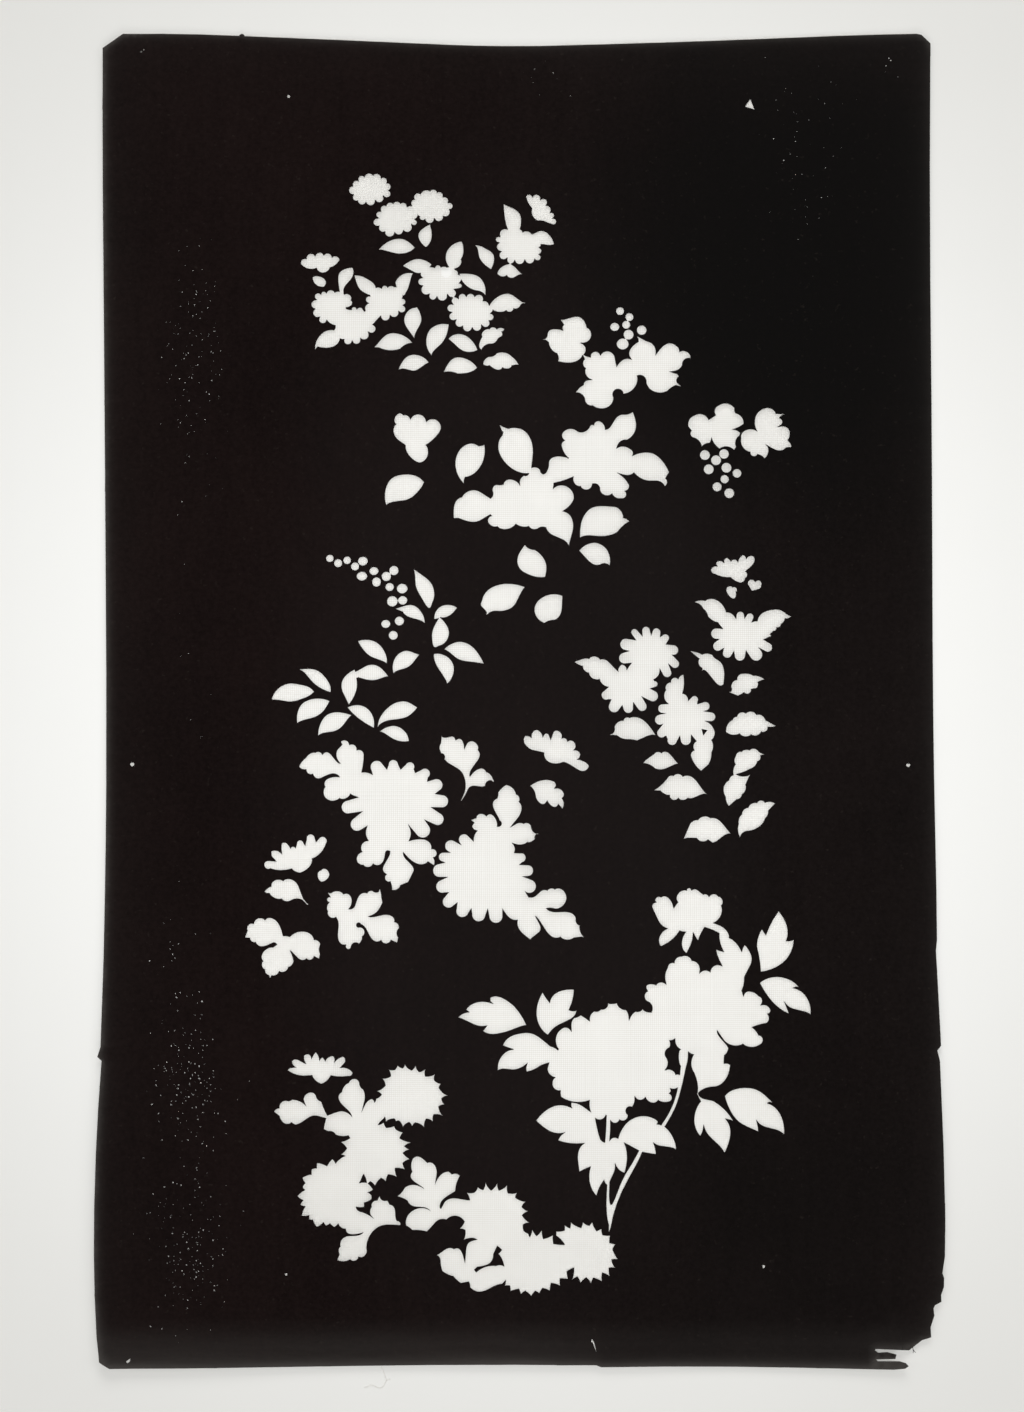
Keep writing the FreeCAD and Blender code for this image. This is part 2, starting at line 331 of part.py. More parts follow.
# ------------------------------------------------------------------ left: nandina berries and leaves
cuts += [
    berry(-94.3, 65.2, 2.1, 2.0),
    berry(-90.1, 62.8, 2.2),
    berry(-85.6, 64.3, 2.1),
    berry(-81.6, 61.2, 2.2),
    berry(-77.7, 63.9, 2.7, 2.4),
    berry(-78.1, 56.3, 2.9, 2.4),
    berry(-72.1, 58.9, 2.5, 2.2),
    berry(-70.8, 53.4, 2.3, 2.5),
    berry(-65.9, 56.2, 2.5),
    berry(-62.1, 59.2, 2.5),
    berry(-64.2, 50.9, 2.3, 2.2),
    berry(-57.9, 50.1, 2.9, 2.6),
    berry(-62.8, 43.7, 2.8),
    berry(-57.6, 44.2, 2.5, 2.3),
    berry(-66.0, 32.3, 2.5, 2.2),
    berry(-59.2, 33.8, 2.5, 2.4),
    berry(-62.2, 26.6, 2.4),
    leaf([(-52.4, 60.2), (-48.0, 57.2), (-43.6, 53.4), (-41.6, 48.0)], [(-42.6, 43.2), (-44.2, 40.2),
         (-48.0, 44.9), (-51.2, 51.4), (-51.6, 56.0)]),
    leaf([(-61.4, 39.9), (-57.4, 41.4), (-52.8, 42.0), (-49.0, 39.6)], [(-46.4, 32.5), (-49.6, 34.3),
         (-54.2, 35.6)], [(-57.6, 38.2)]),
    leaf([(-41.8, 34.6), (-41.4, 38.0), (-38.6, 41.3), (-34.6, 42.2)], [(-30.1, 40.6), (-32.4, 37.8),
         (-35.2, 35.9)], [(-38.6, 35.6), (-40.0, 35.0)]),
    leaf([(-39.0, 35.9), (-36.0, 32.8), (-34.2, 28.4), (-35.6, 23.6)], [(-39.4, 21.3), (-41.6, 20.6),
         (-42.9, 24.4), (-42.8, 28.4), (-41.6, 31.8)]),
    leaf([(-80.1, 23.7), (-75.7, 24.5), (-71.0, 23.4), (-67.2, 19.9), (-65.4, 16.0)], [(-65.2, 12.3),
         (-69.0, 14.1), (-73.6, 15.9), (-77.4, 19.4)]),
    leaf([(-48.8, 16.9), (-52.0, 18.1), (-55.4, 19.0), (-59.6, 17.4), (-62.3, 12.8)], [(-62.0, 7.3),
         (-60.0, 8.7), (-56.6, 9.7), (-52.9, 11.9), (-50.6, 14.8)]),
    leaf([(-64.3, 5.9), (-66.4, 8.6), (-69.8, 11.3), (-74.0, 11.9), (-78.4, 9.8)], [(-82.4, 8.0), (-82.2, 5.8)],
         [(-79.6, 5.2), (-75.7, 4.2), (-70.4, 4.1), (-67.0, 5.3)]),
    leaf([(-81.3, 9.7), (-84.6, 7.6), (-87.6, 4.0), (-87.9, -0.6), (-86.4, -4.2)], [(-84.2, -8.5),
         (-81.4, -4.0), (-80.0, 1.0), (-80.5, 6.2)]),
    leaf([(-109.4, 9.3), (-104.3, 9.8), (-99.6, 8.7), (-95.8, 5.3), (-93.3, 0.8)], [(-93.3, -2.2),
         (-98.0, -0.4), (-102.6, 3.0), (-106.4, 7.4)]),
    leaf([(-101.3, -1.9), (-104.6, 0.8), (-108.7, 1.9), (-114.6, 2.3), (-119.4, 0.0)], [(-122.9, -6.1),
         (-118.6, -6.3), (-113.6, -7.0), (-108.0, -5.8), (-103.8, -3.9)]),
    leaf([(-93.6, -6.4), (-98.5, -5.1), (-103.0, -5.5), (-107.6, -7.8), (-110.0, -12.6)], [(-110.0, -17.9),
         (-107.0, -16.3), (-102.1, -15.0), (-97.4, -12.3), (-94.6, -8.4)]),
    leaf([(-82.5, -13.5), (-86.4, -12.3), (-90.6, -11.9), (-95.0, -13.2), (-98.2, -17.2)], [(-99.5, -24.1),
         (-96.2, -22.5), (-91.6, -21.8), (-87.4, -19.3), (-84.6, -15.6)]),
    leaf([(-85.1, -9.6), (-81.6, -8.4), (-77.6, -8.6), (-73.9, -10.9), (-71.4, -16.0)], [(-71.5, -20.0),
         (-76.6, -17.2), (-81.0, -13.9)]),
    leaf([(-49.6, -9.5), (-52.2, -7.9), (-55.4, -6.5), (-60.3, -6.9), (-66.2, -11.0), (-69.4, -16.4)],
         [(-69.8, -20.0), (-66.4, -16.9), (-60.6, -15.7), (-55.0, -14.4), (-51.4, -11.6)]),
    leaf([(-68.9, -21.7), (-65.4, -19.4), (-60.6, -18.7), (-56.8, -20.6)], [(-53.8, -26.5), (-58.0, -26.7),
         (-62.4, -25.2), (-65.6, -23.1)]),
    leaf([(-36.9, 19.6), (-33.4, 22.4), (-29.0, 23.6), (-24.2, 22.3), (-19.4, 17.6)], [(-16.5, 12.4),
         (-23.9, 13.3), (-29.9, 14.8), (-34.0, 18.0)]),
    leaf([(-42.0, 17.4), (-38.4, 17.5), (-34.4, 15.6), (-31.8, 11.6), (-32.0, 7.0)], [(-35.0, 2.2),
         (-37.4, 6.6), (-40.4, 11.2)]),
]

# ------------------------------------------------------------------ right: long-petalled chrysanthemums
cuts += [
    # flower seen from the side, and its two loose sepals
    outline([[(98.7, 57.9), (96.9, 59.2)], [(97.0, 60.9), (98.4, 61.9)], [(100.0, 62.0), (99.4, 63.6)],
             [(100.4, 64.6), (102.2, 64.6)], [(103.4, 63.7), (103.7, 65.7)], [(105.3, 66.3), (106.2, 65.4)], [(106.9, 64.5),
             (108.6, 65.5)], [(110.4, 64.0), (111.2, 66.3)], [(112.8, 67.8), (114.0, 67.2)], [(114.6, 65.8),
             (116.4, 67.3), (118.0, 67.3), (118.9, 65.0), (117.6, 62.4)], [(114.3, 59.4), (115.2, 57.4)],
             [(114.2, 56.0), (112.0, 53.6), (108.6, 54.7)], [(106.6, 56.2), (103.2, 56.4)]]),
    leaf([(104.4, 50.5), (105.6, 51.9)], [(107.8, 51.5), (109.5, 51.3)], [(109.6, 49.0), (107.9, 45.5),
         (105.2, 47.7)]),
    leaf([(115.1, 53.2), (116.6, 55.3)], [(119.1, 54.2), (121.6, 54.7)], [(122.2, 52.4), (121.6, 50.8),
         (120.0, 50.1)], [(117.4, 49.4), (116.0, 51.5)]),
    # flower with a leaf on each side
    outline(daisy([(128.2, 29.3), (127.0, 26.9), (123.3, 25.1), (127.3, 20.0), (120.7, 21.1), (121.3, 14.9),
                   (114.4, 19.4), (111.2, 14.3), (108.3, 19.2), (104.0, 15.9), (103.2, 20.7), (98.1, 20.3),
                   (100.9, 25.2), (96.7, 28.2), (102.7, 30.5)], 0.5)
            + [[(102.7, 30.5), (101.0, 32.4)], [(100.1, 33.5), (97.4, 34.6)], [(95.2, 36.6), (94.8, 38.0)],
               [(92.8, 40.4), (91.8, 42.0)], [(90.4, 43.0)], [(88.2, 43.9), (91.3, 44.8)], [(93.9, 44.7),
               (98.4, 45.5), (102.0, 43.4)], [(104.5, 39.0), (107.0, 38.3)]]
            + daisy([(109.4, 35.5), (111.5, 39.3), (113.7, 35.8), (117.3, 38.2), (117.3, 33.9)], 0.48)
            + [[(117.3, 33.9), (118.8, 34.4)], [(119.9, 34.5), (122.2, 38.3), (126.4, 40.1), (131.0, 40.3)],
               [(133.4, 39.2), (135.2, 37.9)], [(137.2, 36.8), (135.4, 35.7)], [(134.0, 35.6), (133.3, 34.0)],
               [(132.0, 32.8), (131.4, 31.6)], [(129.8, 31.1), (129.4, 29.9)]]),
    leaf([(86.1, 19.3), (89.6, 18.8)], [(92.4, 17.7), (95.4, 18.1)], [(97.6, 17.4), (98.6, 16.0)],
         [(99.6, 15.3), (102.9, 11.9), (103.6, 7.0)], [(103.2, 2.6), (102.0, 1.8), (99.0, 3.4)],
         [(92.1, 9.0), (92.4, 9.9)], [(92.2, 10.7), (90.7, 12.2)], [(90.8, 15.3), (88.8, 16.9)]),
    leaf([(105.8, -1.3), (107.0, -0.4)], [(106.8, 1.0), (107.4, 3.6)], [(109.7, 5.0), (110.7, 7.4)],
         [(113.0, 8.1), (115.6, 8.1)], [(117.9, 7.2), (119.8, 7.1)], [(124.1, 4.9), (121.6, 4.4)], [(120.4, 3.7),
         (120.4, 2.0)], [(119.4, 0.5), (117.9, 0.4)], [(117.0, 0.1), (116.4, -1.6)], [(113.3, -1.6),
         (112.0, -2.4)], [(110.3, -3.0)]),
    leaf([(104.1, -21.3), (105.0, -17.4)], [(107.4, -15.1), (108.4, -13.8)], [(109.6, -13.4),
         (111.0, -11.6)], [(114.2, -11.7), (117.4, -10.9)], [(119.6, -12.4), (122.6, -13.0)],
         [(124.2, -15.2), (126.4, -16.4)], [(129.5, -18.2), (127.6, -18.7)], [(125.3, -18.8),
         (124.9, -20.2)], [(121.9, -21.1), (120.0, -22.9)], [(116.8, -22.6), (114.0, -23.6)],
         [(111.0, -22.2), (108.6, -22.8)]),
    # two petalled flowers that run together, a leaf on the left
    outline(daisy([(71.2, 10.3), (75.8, 6.1), (75.5, 12.8), (80.4, 11.2), (77.4, 17.2), (80.6, 19.4),
                   (74.4, 22.6), (75.3, 27.3), (71.4, 26.3), (70.0, 30.7), (66.9, 27.0), (64.0, 31.5),
                   (62.5, 26.6), (57.4, 30.0), (59.2, 24.6), (51.3, 23.0), (55.9, 19.1), (50.7, 15.0),
                   (57.1, 13.1)], 0.47)
            + [[(57.1, 13.1), (55.9, 11.7)], [(54.7, 9.7), (54.0, 11.6), (52.4, 12.4), (51.0, 11.4)],
               [(50.4, 8.8), (47.4, 12.0)], [(45.0, 14.4), (43.4, 15.0)], [(41.4, 15.0), (38.8, 16.5)],
               [(35.8, 15.4), (33.0, 15.3)], [(30.8, 14.5), (29.9, 14.4)], [(28.5, 13.4), (30.4, 12.1)],
               [(32.5, 11.3), (33.0, 9.8)], [(35.6, 8.0), (37.0, 5.6)], [(41.0, 4.8), (42.4, 2.4)]]
            + daisy([(45.5, 1.0), (42.2, -4.2), (46.8, -5.3), (47.0, -11.4), (52.4, -8.3), (55.8, -12.1),
                     (58.0, -6.7), (63.7, -10.7), (62.2, -3.7), (70.2, -4.7), (66.5, 0.3), (70.3, 2.6),
                     (68.3, 4.9)], 0.48)
            + [[(68.3, 4.9), (70.4, 6.6)]]),
    # flower with one leaf above and one below
    outline([[(83.1, 7.6), (83.5, 3.0)], [(82.7, -2.0), (84.4, -2.8)]]
            + daisy([(85.4, -5.7), (89.5, -3.4), (90.1, -7.2), (96.2, -7.8), (93.2, -10.9), (99.1, -13.9),
                     (93.8, -15.8)], 0.48)
            + [[(93.8, -15.8), (97.4, -18.2), (98.8, -21.6)], [(97.2, -25.3), (98.0, -28.4)],
               [(97.2, -31.4), (96.9, -34.4)], [(95.6, -37.6)], [(91.8, -40.9), (89.4, -38.6)],
               [(86.6, -33.4), (87.0, -31.4)], [(88.3, -30.4), (87.9, -27.8)], [(89.3, -25.9)]]
            + daisy([(86.9, -22.8), (84.4, -28.0), (81.2, -23.4), (76.9, -28.0), (74.3, -23.6),
                     (70.4, -23.6), (72.8, -17.4), (68.7, -15.9), (74.2, -12.0), (70.2, -9.7),
                     (75.4, -7.3)], 0.48)
            + [[(75.4, -7.3), (73.2, -3.6)], [(74.1, -0.4), (74.6, 2.6)], [(76.6, 3.6), (77.6, 5.6)],
               [(80.4, 5.3), (81.6, 6.9)]]),
    leaf([(46.0, -22.9), (48.2, -21.4)], [(48.4, -19.0), (50.0, -16.6)], [(52.9, -15.6), (53.6, -14.5)],
         [(56.0, -14.2), (61.4, -14.4), (65.6, -17.7)], [(69.3, -23.1), (66.4, -23.1), (62.6, -24.6)],
         [(59.9, -25.8), (57.4, -25.3)], [(54.6, -25.2), (50.8, -24.0)], [(49.6, -23.0)]),
    leaf([(62.8, -37.1), (64.2, -35.2), (66.9, -33.3)], [(69.2, -31.4), (70.6, -31.2)], [(72.0, -31.7),
         (74.4, -31.1), (77.0, -33.0)], [(80.7, -37.0), (77.8, -38.1), (74.2, -39.7)], [(68.8, -39.7),
         (66.0, -37.8)]),
    leaf([(68.0, -50.6), (72.0, -47.6)], [(74.9, -44.4), (76.0, -43.2)], [(78.0, -43.1), (80.4, -42.1)],
         [(82.7, -43.4), (86.4, -43.2), (90.6, -47.0)], [(95.0, -52.4), (91.6, -52.7), (87.6, -54.4)],
         [(85.2, -54.4), (82.9, -55.4)], [(80.4, -54.4), (78.0, -55.4)], [(76.0, -53.0), (73.6, -52.4)],
         [(71.4, -50.8)]),
    # two leaves that share a stalk end
    leaf([(107.8, -42.6), (107.8, -39.8)], [(108.8, -37.4), (108.3, -35.3)], [(109.0, -33.2),
         (110.0, -31.4)], [(112.0, -30.9), (113.6, -30.0)], [(116.0, -30.1), (118.6, -29.4)],
         [(120.6, -30.8), (121.8, -31.6)], [(124.1, -32.1)], [(121.6, -33.0),
         (121.6, -34.4)], [(120.0, -36.0), (118.6, -38.4)], [(116.4, -39.6), (114.6, -40.6)],
         [(109.4, -42.3), (112.0, -43.2)], [(116.7, -42.0), (115.2, -45.0)], [(114.2, -47.6),
         (114.0, -50.4)], [(112.4, -52.4), (111.6, -54.0)], [(109.6, -55.0)], [(105.6, -58.4),
         (104.4, -56.4)], [(103.9, -53.6), (102.9, -51.0)], [(103.0, -48.4), (104.6, -46.0)],
         [(105.6, -45.2), (106.4, -43.6)]),
    leaf([(128.9, -56.7), (126.0, -55.8)], [(123.7, -56.2), (121.3, -55.2)], [(119.6, -56.4),
         (117.0, -56.8)], [(115.2, -58.8), (113.0, -59.9)], [(112.0, -62.2), (110.4, -64.8)],
         [(110.4, -67.0), (110.0, -70.6)], [(111.2, -74.1), (112.6, -71.6)], [(114.6, -70.6),
         (118.8, -69.7)], [(121.4, -68.0), (123.2, -65.8)], [(123.9, -64.2), (125.2, -62.4)],
         [(125.4, -60.6)]),
    leaf([(83.0, -74.6), (84.5, -70.9)], [(86.2, -67.0), (88.4, -65.3)], [(90.2, -65.0), (93.6, -63.2)],
         [(96.4, -64.0), (99.6, -64.4), (103.6, -68.0)], [(107.1, -72.1), (103.8, -72.6), (99.6, -75.8)],
         [(97.4, -76.5)], [(95.2, -75.1), (92.4, -76.0)], [(89.6, -74.4), (86.4, -74.2)]),
]

# ------------------------------------------------------------------ centre left: big chrysanthemums
cuts += [
    # big flower with three lobes above left and three below
    outline([[(-108.9, -39.5), (-107.4, -36.6)], [(-105.4, -34.7), (-103.4, -32.7)], [(-100.6, -32.1),
             (-98.4, -31.9)], [(-97.2, -33.1), (-94.8, -31.9), (-91.6, -34.6)], [(-88.3, -37.6),
             (-90.2, -34.6), (-90.2, -31.6)], [(-88.8, -29.7)], [(-87.6, -28.2)], [(-88.2, -26.7),
             (-86.4, -25.9)], [(-83.6, -28.2), (-81.6, -28.1)], [(-79.9, -30.8), (-77.4, -31.2)],
             [(-76.3, -33.4), (-76.6, -38.0)], [(-77.3, -41.9), (-74.6, -42.0)]]
            + daisy([(-72.1, -43.1), (-71.7, -36.5), (-65.0, -40.3), (-62.0, -35.6), (-58.0, -40.2),
                     (-52.4, -36.9), (-50.6, -41.9), (-43.9, -40.7), (-44.5, -46.3), (-37.2, -46.8),
                     (-40.5, -52.6), (-34.0, -56.6), (-42.6, -59.4), (-36.6, -66.8), (-45.8, -65.7),
                     (-44.4, -73.9), (-54.0, -68.0)], 0.46)
            + [[(-54.0, -68.0), (-52.5, -72.4)], [(-53.5, -76.0), (-48.2, -75.0), (-43.8, -76.2)],
               [(-42.2, -79.8), (-40.6, -80.3)], [(-39.6, -82.4), (-40.0, -83.6)], [(-41.3, -84.4),
               (-40.6, -86.4)], [(-41.0, -88.4)], [(-44.1, -86.7), (-47.6, -88.0), (-52.2, -86.2)],
               [(-56.4, -82.0), (-54.6, -85.5), (-51.4, -89.0)], [(-50.9, -90.8), (-52.4, -94.0)],
               [(-53.8, -96.8), (-56.4, -97.8)], [(-57.6, -98.4), (-59.0, -100.2)], [(-62.2, -100.6),
               (-62.4, -98.0)], [(-63.0, -96.6), (-65.4, -95.6)], [(-65.0, -92.8), (-66.8, -90.4),
               (-65.4, -86.6)], [(-63.3, -81.4), (-64.6, -81.2), (-65.6, -84.6), (-67.4, -87.8)],
               [(-71.4, -87.9), (-73.6, -89.4)], [(-76.4, -88.4), (-78.4, -87.8)], [(-79.6, -86.6),
               (-79.4, -83.4)], [(-77.2, -81.6), (-77.6, -78.6)], [(-74.1, -76.0), (-75.4, -72.6)]]
            + daisy([(-74.6, -68.9), (-82.4, -70.0), (-77.0, -61.6), (-87.5, -60.2), (-79.2, -54.5)], 0.46)
            + [[(-79.2, -54.5), (-81.4, -53.9)], [(-83.0, -53.1), (-86.0, -55.5)], [(-88.4, -55.3),
               (-92.0, -56.5)], [(-95.6, -55.0), (-96.6, -52.6)], [(-95.9, -49.4), (-95.8, -46.4),
               (-93.0, -44.6)], [(-88.6, -44.4), (-91.4, -42.9), (-95.4, -44.0), (-99.0, -45.4)],
               [(-102.0, -43.2), (-104.0, -43.0)], [(-105.3, -40.9), (-107.4, -40.6)]]),
    # bud of two lobes on a curved stem
    outline([[(-37.7, -23.6), (-35.0, -24.3), (-32.4, -23.8)], [(-30.6, -25.6), (-28.0, -25.2),
             (-26.6, -27.4)], [(-26.3, -30.2)], [(-25.4, -27.9), (-22.0, -26.2), (-19.7, -28.0)],
             [(-19.3, -30.6), (-18.4, -33.4), (-20.4, -37.4)], [(-23.4, -43.8), (-21.0, -41.0),
             (-17.6, -39.7)], [(-15.2, -41.4), (-12.8, -43.2)], [(-11.6, -46.7), (-14.9, -46.7)],
             [(-15.6, -48.8), (-18.6, -49.1), (-22.2, -48.9)], [(-24.6, -51.4), (-26.2, -54.4)],
             [(-27.6, -56.3)], [(-28.1, -55.9), (-27.0, -53.4)], [(-26.3, -51.6), (-26.0, -46.4), (-28.2, -41.4),
             (-34.0, -37.7)], [(-36.5, -35.2), (-36.2, -34.2)], [(-37.8, -32.6), (-38.9, -30.2)],
             [(-38.2, -27.2)]]),
    # flower seen from the side
    outline([[(8.8, -31.0), (5.0, -29.2), (3.1, -25.4)], [(3.8, -23.6), (5.6, -23.5)], [(7.2, -24.5),
             (7.6, -21.7), (9.6, -20.4), (11.7, -21.5)], [(12.8, -24.1)], [(13.6, -22.6), (14.8, -22.2)], [(16.0, -23.2)], [(16.8, -25.5)], [(17.6, -22.6), (20.0, -20.7),
             (21.9, -21.9)], [(22.3, -24.7), (24.3, -24.7)], [(25.2, -26.2),
             (27.6, -25.8), (29.3, -27.8)], [(28.2, -30.6), (30.6, -31.0)], [(31.7, -32.6),
             (31.2, -34.4)], [(30.0, -35.3), (33.0, -35.9), (35.9, -38.8), (34.0, -41.0),
             (29.0, -39.6)], [(22.7, -36.8), (19.6, -37.5), (15.6, -36.6)], [(13.3, -32.1)]]),
    leaf([(6.2, -48.5), (10.4, -46.1), (15.3, -45.3)], [(18.4, -46.1), (19.6, -48.1)], [(18.7, -49.7),
         (21.6, -49.9)], [(23.4, -51.8), (23.5, -53.6)], [(22.6, -54.6), (23.6, -57.6)], [(22.7, -60.1),
         (21.6, -58.8)], [(20.7, -57.8), (18.8, -59.2), (16.7, -58.2)], [(15.1, -56.1), (12.8, -57.8),
         (10.6, -56.5)], [(9.2, -53.6), (8.2, -50.6)]),
    # second big flower with lobes above right and below right
    outline([[(-23.1, -65.6), (-21.2, -64.7)], [(-20.4, -64.4), (-18.9, -62.5), (-16.6, -62.5)],
             [(-15.2, -63.4), (-13.0, -62.5), (-10.8, -64.2)], [(-9.6, -68.6), (-8.7, -68.6)],
             [(-8.6, -66.0), (-11.2, -61.2), (-12.2, -57.2)], [(-10.0, -54.6), (-9.6, -53.6)],
             [(-9.6, -51.8), (-7.6, -49.4)], [(-5.4, -47.8), (-2.2, -49.3)], [(-0.2, -52.6), (1.2, -53.8)],
             [(1.3, -56.4), (2.6, -59.2), (1.8, -62.8), (-0.6, -66.2)], [(-3.2, -69.1)],
             [(-0.9, -67.6), (1.6, -66.7)], [(3.4, -67.1), (6.0, -67.0)], [(7.4, -69.2), (8.2, -71.0)], [(10.9, -72.3), (9.6, -73.0)],
             [(9.2, -75.0), (7.6, -76.3)], [(5.4, -76.8), (1.8, -78.0)], [(-2.2, -77.0), (-0.8, -79.0)]]
            + daisy([(-1.0, -81.7), (4.7, -83.7), (1.6, -87.7), (8.5, -90.6), (3.1, -93.6), (9.6, -99.8),
                     (4.2, -100.9)], 0.48)
            + [[(4.2, -100.9)], [(6.2, -103.6), (9.2, -103.1), (12.4, -100.4)],
               [(15.2, -100.2), (17.4, -99.2)], [(19.0, -99.6), (23.0, -100.0), (25.0, -104.0),
               (22.6, -108.6)], [(19.0, -109.6), (17.0, -109.2)], [(15.0, -109.4), (17.4, -110.7),
               (23.3, -110.8), (28.0, -111.8)], [(29.8, -114.4), (29.7, -115.6)], [(31.6, -117.6),
               (31.6, -119.4)], [(34.0, -123.5), (31.4, -123.6)], [(28.6, -124.0), (25.6, -125.0)],
               [(21.8, -123.7), (18.6, -123.9), (14.8, -120.8)], [(9.4, -113.3), (11.6, -117.0),
               (12.2, -119.8), (9.7, -122.6)], [(7.0, -125.0), (4.0, -122.8), (1.2, -119.8)],
               [(0.4, -115.3), (-3.0, -114.6), (-5.6, -112.0)]]
            + daisy([(-6.9, -109.8), (-9.8, -116.8), (-14.3, -109.8), (-19.2, -116.1), (-22.5, -109.8),
                     (-28.0, -113.9), (-29.5, -106.8), (-36.0, -108.5), (-34.0, -101.7), (-40.1, -99.7),
                     (-34.4, -94.0), (-41.8, -91.2), (-36.0, -86.8), (-39.0, -83.8), (-33.2, -81.8),
                     (-35.5, -77.0), (-27.7, -78.0), (-28.2, -73.2), (-21.6, -76.0)], 0.47)
            + [[(-21.6, -76.0), (-21.3, -73.2)], [(-19.9, -71.0), (-21.4, -70.4)], [(-22.5, -68.6),
               (-22.1, -67.9)], [(-21.5, -67.0)]]),
    # half-open flower, sepal, long-tipped leaf
    outline([[(-122.7, -90.3), (-125.5, -89.4)], [(-125.4, -87.0), (-124.6, -86.4)], [(-123.2, -86.2)],
             [(-119.8, -86.5)], [(-122.2, -84.0)], [(-122.4, -81.5), (-120.2, -81.0)], [(-116.9, -82.8)],
             [(-117.4, -80.0)], [(-117.2, -77.6), (-115.6, -77.0)], [(-114.0, -77.8)], [(-112.6, -79.8),
             (-111.4, -79.0)], [(-110.1, -79.7)], [(-109.6, -77.4), (-108.4, -75.9)], [(-106.4, -76.6)],
             [(-105.4, -78.5)], [(-104.8, -75.4), (-102.6, -72.8)], [(-100.6, -74.2)], [(-99.9, -76.6)],
             [(-98.4, -74.8), (-95.4, -74.4)], [(-94.8, -77.6), (-96.0, -80.4)], [(-101.6, -85.3), (-101.9, -87.4), (-104.0, -90.3)], [(-107.8, -92.3),
             (-110.4, -91.6)], [(-112.0, -90.4), (-118.0, -91.1)]]),
    leaf([(-99.2, -92.4), (-98.4, -91.2)], [(-97.4, -90.7), (-95.4, -89.9), (-93.2, -91.8)],
         [(-93.4, -94.4), (-95.4, -96.3)], [(-97.2, -96.8), (-98.8, -95.2)]),
    leaf([(-125.7, -101.5), (-124.4, -100.2)], [(-122.2, -98.8), (-121.2, -96.4), (-118.3, -95.4)],
         [(-116.2, -96.0), (-113.6, -95.1), (-109.8, -96.6), (-107.7, -100.2), (-106.4, -103.8)],
         [(-103.3, -108.0)], [(-104.0, -108.3), (-105.4, -106.6)], [(-107.2, -105.5), (-110.0, -105.2)], [(-112.0, -105.9),
         (-114.4, -106.5)], [(-116.8, -105.3), (-120.4, -104.8)], [(-123.0, -102.6)], [(-124.6, -102.4)]),
    # leaf of three lobes
    outline([[(-135.1, -124.5), (-134.2, -122.2)], [(-133.8, -120.8), (-133.6, -118.4)], [(-130.6, -117.4),
             (-129.8, -115.6)], [(-127.2, -114.6), (-125.8, -114.9)], [(-125.0, -115.5), (-122.6, -114.4),
             (-119.4, -115.8), (-117.2, -119.0)], [(-115.7, -123.3), (-114.2, -123.4)], [(-112.6, -123.7),
             (-109.8, -121.8), (-105.8, -121.1), (-102.4, -122.2)], [(-100.4, -125.2), (-98.8, -125.5)],
             [(-97.2, -127.8), (-97.8, -130.4)], [(-97.3, -132.2)], [(-97.8, -134.9)], [(-100.4, -133.6),
             (-102.4, -135.4)], [(-104.2, -134.8), (-106.6, -135.5), (-109.6, -133.4)], [(-112.3, -130.8),
             (-111.0, -133.4)], [(-110.4, -135.8), (-111.4, -138.0)], [(-113.0, -139.0), (-114.8, -141.2)],
             [(-117.6, -141.1), (-119.4, -143.0)], [(-121.2, -143.2)], [(-122.0, -144.6)], [(-123.0, -143.0),
             (-124.4, -142.0)], [(-124.9, -140.2), (-126.4, -138.4)], [(-125.9, -136.0), (-126.6, -133.4),
             (-125.0, -130.6)], [(-121.0, -129.0)], [(-119.1, -127.8), (-119.8, -127.0)], [(-121.0, -127.0),
             (-123.6, -128.2), (-127.0, -128.8)], [(-129.6, -126.8), (-131.4, -126.4)], [(-132.6, -124.7)]]),
    # leaf of four lobes
    outline([[(-93.9, -102.0), (-92.4, -102.0)], [(-91.6, -101.6), (-88.7, -101.0)], [(-86.0, -102.4),
             (-82.6, -103.2), (-81.9, -107.6)], [(-83.3, -110.0), (-81.0, -109.2), (-79.6, -105.6),
             (-77.4, -102.3)], [(-74.4, -101.9), (-73.2, -100.9)], [(-71.4, -100.8), (-69.8, -101.6)],
             [(-68.0, -100.0), (-67.2, -103.2)], [(-66.4, -106.8), (-67.4, -108.9)], [(-68.2, -110.2),
             (-69.8, -112.0)], [(-73.5, -113.7), (-68.6, -113.2), (-64.0, -112.6), (-60.8, -114.2)],
             [(-60.4, -116.2), (-58.4, -117.8)], [(-58.2, -119.6), (-59.2, -121.4)], [(-58.4, -124.0)],
             [(-59.1, -126.9)], [(-62.2, -125.5), (-64.7, -127.2)], [(-67.2, -125.6), (-70.2, -126.1),
             (-73.2, -123.0), (-75.3, -119.2)], [(-77.4, -117.6), (-79.3, -117.5)], [(-78.4, -119.0),
             (-75.4, -120.6)], [(-76.4, -123.6), (-76.9, -125.9)], [(-78.2, -127.4), (-80.8, -127.0)],
             [(-82.0, -129.2), (-84.0, -129.9)], [(-84.8, -127.8), (-87.4, -127.2), (-88.9, -123.0),
             (-88.6, -117.4)], [(-89.8, -114.3), (-92.4, -114.4)], [(-94.0, -111.2), (-94.4, -108.8)],
             [(-93.3, -106.8), (-94.3, -106.0)], [(-92.3, -104.2)]]),
]

